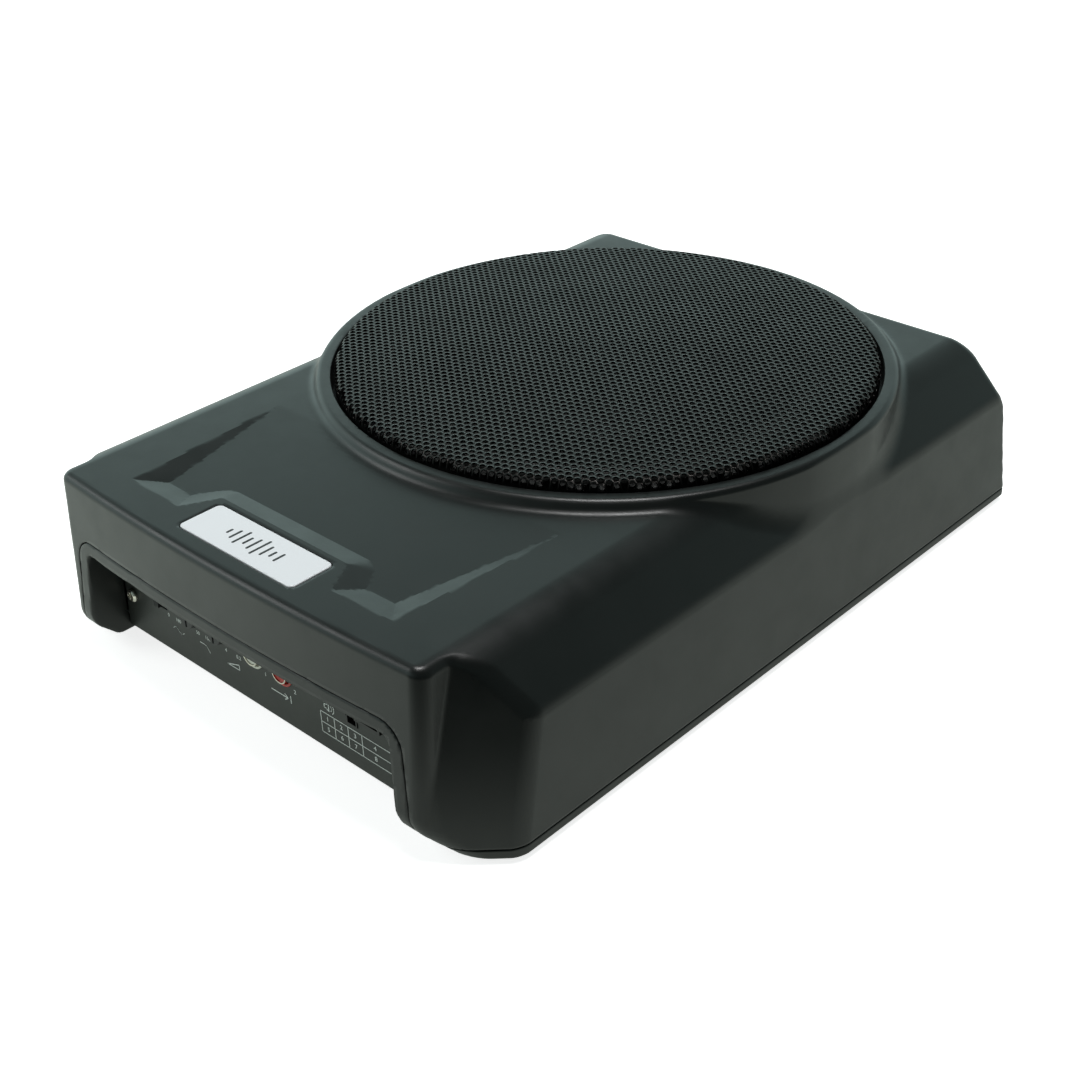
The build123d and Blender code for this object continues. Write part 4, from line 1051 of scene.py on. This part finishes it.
def surround():
    """Half-roll rubber edge with two moulded beads."""
    half = (ROLL_OUTER - ROLL_INNER) / 2
    centre = (ROLL_OUTER + ROLL_INNER) / 2
    height = SURROUND_TOP_Z - SURROUND_LOW_Z - 1.0
    turns = [math.pi * k / 28 for k in range(29)]
    upper = [(centre + half * math.cos(a), SURROUND_LOW_Z + 1.0 + height * math.sin(a)) for a in turns]
    lower = [(centre + (half - 1) * math.cos(a), SURROUND_LOW_Z + height * math.sin(a))
             for a in reversed(turns)]
    inner_foot = CONE_RIM_RADIUS - 3.5
    profile = [(SURROUND_RADIUS, SURROUND_LOW_Z), (SURROUND_RADIUS, SURROUND_LOW_Z + 0.8),
               (SURROUND_RADIUS - 0.3, SURROUND_LOW_Z + 1.0)] + upper
    profile += [(inner_foot + 0.3, SURROUND_LOW_Z + 1.0), (inner_foot, SURROUND_LOW_Z + 0.7),
                (inner_foot, SURROUND_LOW_Z)] + lower
    piece = smooth(lathe("surround_roll", profile, 192), 60.0)
    finish_piece(piece, None, "surround_rubber", "surround")
    flex_with_cone(piece, ROLL_INNER, ROLL_OUTER)


def cone():
    """Pulp cone with three shallow stiffening ribs."""
    rim_start = CONE_RIM_RADIUS - 4.0
    neck = FORMER_RADIUS + 0.05
    upper = []
    for k in range(73):
        radius = neck + (rim_start - neck) * k / 72
        z = CONE_NECK_Z + (CONE_RIM_Z - CONE_NECK_Z) * (radius - neck) / (rim_start - neck)
        for rib in (50.0, 60.0, 70.0):
            z -= 0.5 * math.exp(-((radius - rib) / 1.1) ** 2)
        upper.append((radius, z))
    rim = [(CONE_RIM_RADIUS - 0.2, CONE_RIM_Z), (CONE_RIM_RADIUS, CONE_RIM_Z - 0.2),
           (CONE_RIM_RADIUS, CONE_RIM_Z - 1.0), (rim_start + 0.8, CONE_RIM_Z - 1.0)]
    lower = [(radius, z - 1.3) for radius, z in reversed(upper[:-2])]
    piece = smooth(lathe("cone_pressed", upper + rim + lower, 192), 40.0)
    finish_piece(piece, "cone_assembly", "cone_pulp", "cone")


def dust_cap():
    """Shallow dome with a glued flange."""
    cap_high, cap_low = high("dust_cap"), low("dust_cap")
    radius = cap_high[0]
    rise = cap_high[2] - cap_low[2] - 0.8
    outer = [(radius * (1 - k / 30), cap_high[2] - rise * (1 - k / 30) ** 2) for k in range(30)]
    inner = [(r, z - 0.75) for r, z in reversed(outer)]
    profile = outer + [(0.0, cap_high[2])] + [(0.0, cap_high[2] - 0.75)] + inner
    piece = smooth(lathe("dust_cap_dome", profile, 144), 50.0)
    finish_piece(piece, "cone_assembly", "cone_pulp", "dust_cap")


def spider():
    """Corrugated cloth disc."""
    low_z, high_z = low("spider")[2], high("spider")[2]
    inner, outer = FORMER_RADIUS + 0.05, high("spider")[0]
    lift = high_z - low_z - 0.7
    upper = []
    for k in range(141):
        radius = inner + (outer - inner) * k / 140
        reach = (outer - 5 - radius) / (outer - 7 - inner)
        wave = math.sin(math.pi * 7 * reach) ** 2 if 0 < reach < 1 else 0.0
        upper.append((radius, low_z + 0.7 + lift * wave))
    lower = [(radius, z - 0.7) for radius, z in reversed(upper)]
    piece = smooth(lathe("spider_cloth_disc", upper + lower, 144), 60.0)
    finish_piece(piece, None, "spider_cloth", "spider")
    flex_with_cone(piece, inner + 2.0, outer - 5.0)


def smooth_path(points, steps):
    """Catmull-Rom path through the points."""
    padded = [2 * points[0] - points[1]] + list(points) + [2 * points[-1] - points[-2]]
    path = []
    for a, b, c, d in zip(padded, padded[1:], padded[2:], padded[3:]):
        for k in range(steps):
            t = k / steps
            path.append(0.5 * (2 * b + (c - a) * t + (2 * a - 5 * b + 4 * c - d) * t * t
                               + (3 * b - a - 3 * c + d) * t ** 3))
    path.append(Vector(points[-1]))
    return path


def tube(name, points, radius, steps, sides, ripple, twist=0.9):
    """Round wire along a path; a ripple gives it a braided surface."""
    path = smooth_path([Vector(p) for p in points], steps)
    vertices, faces = [], []
    side = Vector((0, 0, 1))
    for k, place in enumerate(path):
        ahead = path[min(k + 1, len(path) - 1)] - path[max(k - 1, 0)]
        ahead.normalize()
        across = ahead.cross(side).normalized()
        upward = across.cross(ahead)
        for m in range(sides):
            turn = 2 * math.pi * m / sides
            reach = radius * (1 - ripple * (0.5 + 0.5 * math.cos(4 * turn + twist * k)))
            vertices.append((place + (across * math.cos(turn) + upward * math.sin(turn)) * reach) * MM)
    for k in range(len(path) - 1):
        for m in range(sides):
            n = (m + 1) % sides
            faces.append((k * sides + m, k * sides + n, (k + 1) * sides + n, (k + 1) * sides + m))
    faces.append(tuple(reversed(range(sides))))
    faces.append(tuple((len(path) - 1) * sides + m for m in range(sides)))
    return smooth(closed_object(name, vertices, faces), 60.0)


# from the lug to the cone: sideways, forward of the woofer's axis, and up
LEAD_PATH = [(7.5, 94.0, 62.8), (12.0, 90.0, 63.4), (14.0, 80.0, 61.0), (13.5, 62.0, 57.5),
             (12.0, 46.0, 60.4)]
LEAD_RADIUS = 0.58


def tinsel_leads():
    """Two braided leads from the lugs to the cone."""
    for side, name in ((-1, "tinsel_lead_left"), (1, "tinsel_lead_right")):
        points = [(side * x, WOOFER_Y - forward, z) for x, forward, z in LEAD_PATH]
        piece = tube(name, points, LEAD_RADIUS, 22, 12, 0.22)
        finish_piece(piece, None, "copper", "tinsel_leads")
        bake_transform(piece)


# ================================================================ control panel legends
def on_panel(x, z, depth):
    """Place on the panel face; depth 0 is the face and 1 the top of the print."""
    return (x, PANEL_Y + 0.02 - depth * 0.08, z)


def stroke(points, width=0.38):
    """Outlines of the short bars that draw a line through the points."""
    outlines = []
    for (x0, z0), (x1, z1) in zip(points, points[1:]):
        length = math.hypot(x1 - x0, z1 - z0)
        ax, az = (x1 - x0) / length * width / 2, (z1 - z0) / length * width / 2
        outlines.append([(x0 - ax - az, z0 - az + ax), (x0 - ax + az, z0 - az - ax),
                         (x1 + ax + az, z1 + az - ax), (x1 + ax - az, z1 + az + ax)])
    return outlines


TABLE_COLUMNS = [32.8, 40.5, 48.2, 55.9, 76.0]
TABLE_ROWS = [11.9, 16.85, 21.8]
SIGN_Z = 17.6             # middle of the signs under the controls
SCALE_Z = 22.8            # middle of the numbers beside the controls
SCALE_SIZE = 2.4
SCALE_NUMBERS = [("0", -61.7), ("180", -55.2), ("50", -42.2), ("150", -35.8), ("4", -24.0), ("0.2", -16.0)]
SOCKET_NUMBERS = [("1", 0.6), ("2", 18.2)]
SOCKET_NUMBER_SIZE = 2.6
CELL_NUMBER_PLACES = [(x, z) for z in (19.3, 14.3) for x in (36.6, 44.3, 52.0, 63.0)]
CELL_NUMBER_SIZE = 3.0


def legend_table():
    """Pin table under the power connector: two rows of four cells."""
    outlines = []
    for x in TABLE_COLUMNS:
        outlines += stroke([(x, TABLE_ROWS[0]), (x, TABLE_ROWS[-1])], 0.3)
    for z in TABLE_ROWS:
        outlines += stroke([(TABLE_COLUMNS[0], z), (TABLE_COLUMNS[-1], z)], 0.3)
    return outlines


def legend_icons():
    """Generic signs: a wave, a falling curve, a wedge, an arrow and a loudspeaker."""
    wave = [(-59.5 + 0.5 * k, SIGN_Z + 1.1 * math.sin(k * math.pi / 7)) for k in range(15)]
    falling = [(-41.5, 18.7), (-38.5, 18.7), (-37.4, 18.3), (-36.6, 17.6), (-36.0, 16.7), (-35.6, 16.0)]
    wedge = [(-24.0, 16.4), (-16.5, 16.4), (-16.5, 18.9), (-24.0, 16.4)]
    outlines = stroke(wave) + stroke(falling) + stroke(wedge)
    outlines += stroke([(3.5, SIGN_Z), (13.5, SIGN_Z)])
    outlines += stroke([(11.6, 18.9), (13.5, SIGN_Z), (11.6, 16.3)])
    outlines += stroke([(15.0, 16.0), (15.0, 19.2)])
    outlines += stroke([(35.5, 24.6), (36.6, 24.6), (38.0, 23.6), (38.0, 27.4), (36.6, 26.4),
                        (35.5, 26.4), (35.5, 24.6)])
    for reach in (1.4, 2.6):
        arc = [(38.4 + reach * math.cos(a), 25.5 + reach * math.sin(a))
               for a in (-0.9, -0.45, 0.0, 0.45, 0.9)]
        outlines += stroke(arc, 0.34)
    return outlines


def numeral(text, x, z, size):
    """Printed number on the panel."""
    curve = bpy.data.curves.new("numeral", "FONT")
    curve.body = text
    curve.size = size * MM
    curve.extrude = 0.03 * MM
    curve.align_x = "CENTER"
    curve.align_y = "CENTER"
    piece = bpy.data.objects.new("numeral", curve)
    bpy.context.scene.collection.objects.link(piece)
    piece.location = Vector((x, PANEL_Y - 0.02, z)) * MM
    piece.rotation_euler = (math.pi / 2, 0, 0)
    return piece


def legends():
    """All the white print on the control panel as one piece."""
    outlines = legend_table() + legend_icons()
    marks = raised_shapes("panel_print", outlines, 0.0, 1.0, on_panel)
    pieces = [numeral(text, x, SCALE_Z, SCALE_SIZE) for text, x in SCALE_NUMBERS]
    pieces += [numeral(text, x, SCALE_Z, SOCKET_NUMBER_SIZE) for text, x in SOCKET_NUMBERS]
    pieces += [numeral(str(k + 1), x, z, CELL_NUMBER_SIZE) for k, (x, z) in enumerate(CELL_NUMBER_PLACES)]
    bpy.context.view_layer.update()
    graph = bpy.context.evaluated_depsgraph_get()
    bm = bmesh.new()
    bm.from_mesh(marks.data)
    for piece in pieces:
        digits = bpy.data.meshes.new_from_object(piece.evaluated_get(graph))
        digits.transform(piece.matrix_world)
        bm.from_mesh(digits)
        bpy.data.meshes.remove(digits)
        curve = piece.data
        bpy.data.objects.remove(piece)
        bpy.data.curves.remove(curve)
    bmesh.ops.remove_doubles(bm, verts=bm.verts, dist=1e-8)
    bm.to_mesh(marks.data)
    bm.free()
    finish_piece(marks, "cabinet", "panel_plastic", None, PRINT_WHITE)


# ================================================================ everything else from the CAD
BEVELS = {
    "rubber_feet": 0.5, "case_screws": 0.15, "control_panel": 0.12, "panel_screws": 0.12,
    "phase_switch": 0.15, "phase_switch_slider": 0.08, "low_pass_pot": 0.2, "gain_pot": 0.2,
    "low_pass_knob": 0.12, "gain_knob": 0.12, "socket_block": 0.25, "socket_barrels": 0.12,
    "socket_insulator_white": 0.15, "socket_insulator_red": 0.15, "power_connector": 0.15,
    "power_pins": 0.1, "driver_screws": 0.2, "basket": 0.25, "top_plate": 0.4, "magnet": 0.6,
    "yoke": 0.4, "terminal_strip": 0.1, "terminal_lugs": 0.08, "filter_capacitors": 0.4,
    "power_transistors": 0.2, "heat_sink": 0.3, "driver_chips": 0.12, "speaker_plug": 0.25,
    "bracket_inserts": 0.15, "board_screws": 0.15, "output_inductor": 0.5,
}
BUILT_HERE = {"top_shell", "bottom_shell", "badge_plate", "grille", "surround", "cone", "dust_cap",
              "spider", "tinsel_leads"}

top_shell()
bottom_shell()
badge()
grille()
surround()
cone()
dust_cap()
spider()
tinsel_leads()
legends()
for part in frame["record"]["subparts"]:
    if part["node"] not in BUILT_HERE:
        refined(part["node"], part["material_slot"], BEVELS.get(part["node"], 0.0))


# ================================================================ stage
FLOOR_GLOW = 0.8                          # for the camera
FLOOR_BRIGHT = [0.86, 0.93, 0.85, 1]      # painted light: the lit floor colour the part sees in its reflections at the front left
FLOOR_DIM = 0.50                          # painted shade: the share of that lit colour that reflections get elsewhere
FLOOR_BOUNCE = 0.43                       # painted glow: the floor itself glows for reflections, standing in for lamps below the picture's frame


def floor_material():
    """Pale paper, burnt out to white for the camera; reflections see painted light on it from the front
    left, painted shade elsewhere and on the camera's side, and a painted glow.
    """
    shader = Shader("studio_paper")
    seen = shader.add("ShaderNodeLightPath").outputs["Is Camera Ray"]

    def along(direction, start, end, first, last):
        """Value that changes from first to last between two distances along a direction."""
        distance = shader.add("ShaderNodeVectorMath", operation="DOT_PRODUCT")
        shader.feed(shader.place, distance.inputs[0])
        shader.feed(direction, distance.inputs[1])
        return shader.change(distance.outputs["Value"], start, end, first, last)

    # painted shade for reflections: dimmer past a line across the floor, almost black on the camera's side
    across = along((0.72, 0.69, 0.0), -0.28, -0.10, 1.0, FLOOR_DIM)
    camera_side_painted_shade = along((0.70, -0.71, 0.0), 0.23, 0.33, 1.0, 0.02)
    share = shader.math("MULTIPLY", across, camera_side_painted_shade)
    tone = shader.ramp(share, [(0.0, grey(0.0)), (1.0, FLOOR_BRIGHT)])
    # painted glow for reflections, fading out on the camera's side
    bounce = shader.math("MULTIPLY", camera_side_painted_shade, FLOOR_BOUNCE)
    shader.set(Base_Color=shader.mix(seen, tone, [0.92, 0.92, 0.91, 1]), Roughness=0.8,
               Emission_Color=shader.mix(seen, FLOOR_BRIGHT, grey(1.0)),
               Emission_Strength=shader.change(seen, 0.0, 1.0, bounce, FLOOR_GLOW))
    return shader.material


floor_mesh = bpy.data.meshes.new("floor")
REACH = 6.0
floor_mesh.from_pydata([(-REACH, -REACH, 0), (REACH, -REACH, 0), (REACH, REACH, 0), (-REACH, REACH, 0)],
                       [], [(0, 1, 2, 3)])
floor = link(floor_mesh, "floor")
floor.data.materials.append(floor_material())


def softbox(name, place, size, radiance, target=(0, 0, 0.05)):
    """Rectangular area light aimed at the part; radiance 1 looks white."""
    data = bpy.data.lights.new(name, "AREA")
    data.shape = "RECTANGLE"
    data.size, data.size_y = size
    data.energy = radiance * math.pi * size[0] * size[1]
    lamp = bpy.data.objects.new(name, data)
    bpy.context.scene.collection.objects.link(lamp)
    lamp.location = place
    lamp.rotation_mode = "QUATERNION"
    lamp.rotation_quaternion = (Vector(target) - Vector(place)).to_track_quat("-Z", "Y")
    return lamp


softbox("overhead", (0.05, 0.05, 1.5), (0.45, 0.45), 18.0)
softbox("front_left_card", (-1.0, -0.85, 0.95), (0.7, 0.6), 3.0)

WALL_COLOUR = (0.76, 1.0, 0.97, 1)
WALL_NEAR = 0.10          # brightness of the surroundings on the dark side
WALL_FAR = 1.36           # and on the bright side


def studio_walls(tree, sky):
    """Soft surroundings, white for the camera; the part sees a pale wall low on the left only."""
    nodes = Nodes(tree)
    split = nodes.add("ShaderNodeSeparateXYZ")
    nodes.feed(nodes.add("ShaderNodeTexCoord").outputs["Generated"], split.inputs["Vector"])
    seen = nodes.add("ShaderNodeLightPath").outputs["Is Camera Ray"]
    stops = [(0.0, 0.98), (0.30, 0.92), (0.42, 0.80), (0.52, 0.46), (0.62, 0.22), (0.75, 0.08)]
    upward = nodes.ramp(split.outputs["Z"], [(height, grey(value)) for height, value in stops])
    leftward = nodes.math("ADD", nodes.math("MULTIPLY", split.outputs["X"], -0.95),
                          nodes.math("MULTIPLY", split.outputs["Y"], 0.30))
    side = nodes.change(leftward, -0.62, 0.90, WALL_NEAR, WALL_FAR)
    glow = nodes.math("MULTIPLY", upward, side)
    nodes.feed(nodes.math("MAXIMUM", glow, seen), sky.inputs["Strength"])
    nodes.feed(nodes.mix(seen, WALL_COLOUR, grey(1.0)), sky.inputs["Color"])


world = bpy.data.worlds.new("studio")
bpy.context.scene.world = world
world.use_nodes = True
studio_walls(world.node_tree, world.node_tree.nodes["Background"])

LENS = 54.6
CAMERA_TARGET = Vector((0.0319, CABINET_Y * MM - 0.03735, 0.0385))
CAMERA_DISTANCE = 0.681
CAMERA_AZIMUTH = math.radians(43.78)
CAMERA_ELEVATION = math.radians(31.78)
CAMERA_ROLL = math.radians(-1.76)
camera_data = bpy.data.cameras.new("camera")
camera_data.sensor_width = 36.0
camera_data.lens = LENS
camera_data.clip_start = 0.01
camera = bpy.data.objects.new("camera", camera_data)
bpy.context.scene.collection.objects.link(camera)
bpy.context.scene.camera = camera
backward = Vector((math.sin(CAMERA_AZIMUTH) * math.cos(CAMERA_ELEVATION),
                   -math.cos(CAMERA_AZIMUTH) * math.cos(CAMERA_ELEVATION),
                   math.sin(CAMERA_ELEVATION)))
camera.location = CAMERA_TARGET + backward * CAMERA_DISTANCE
level = (-backward).to_track_quat("-Z", "Y").to_matrix()
camera.rotation_euler = (level @ Matrix.Rotation(CAMERA_ROLL, 3, "Z")).to_euler()

bpy.context.scene.view_settings.view_transform = "Standard"
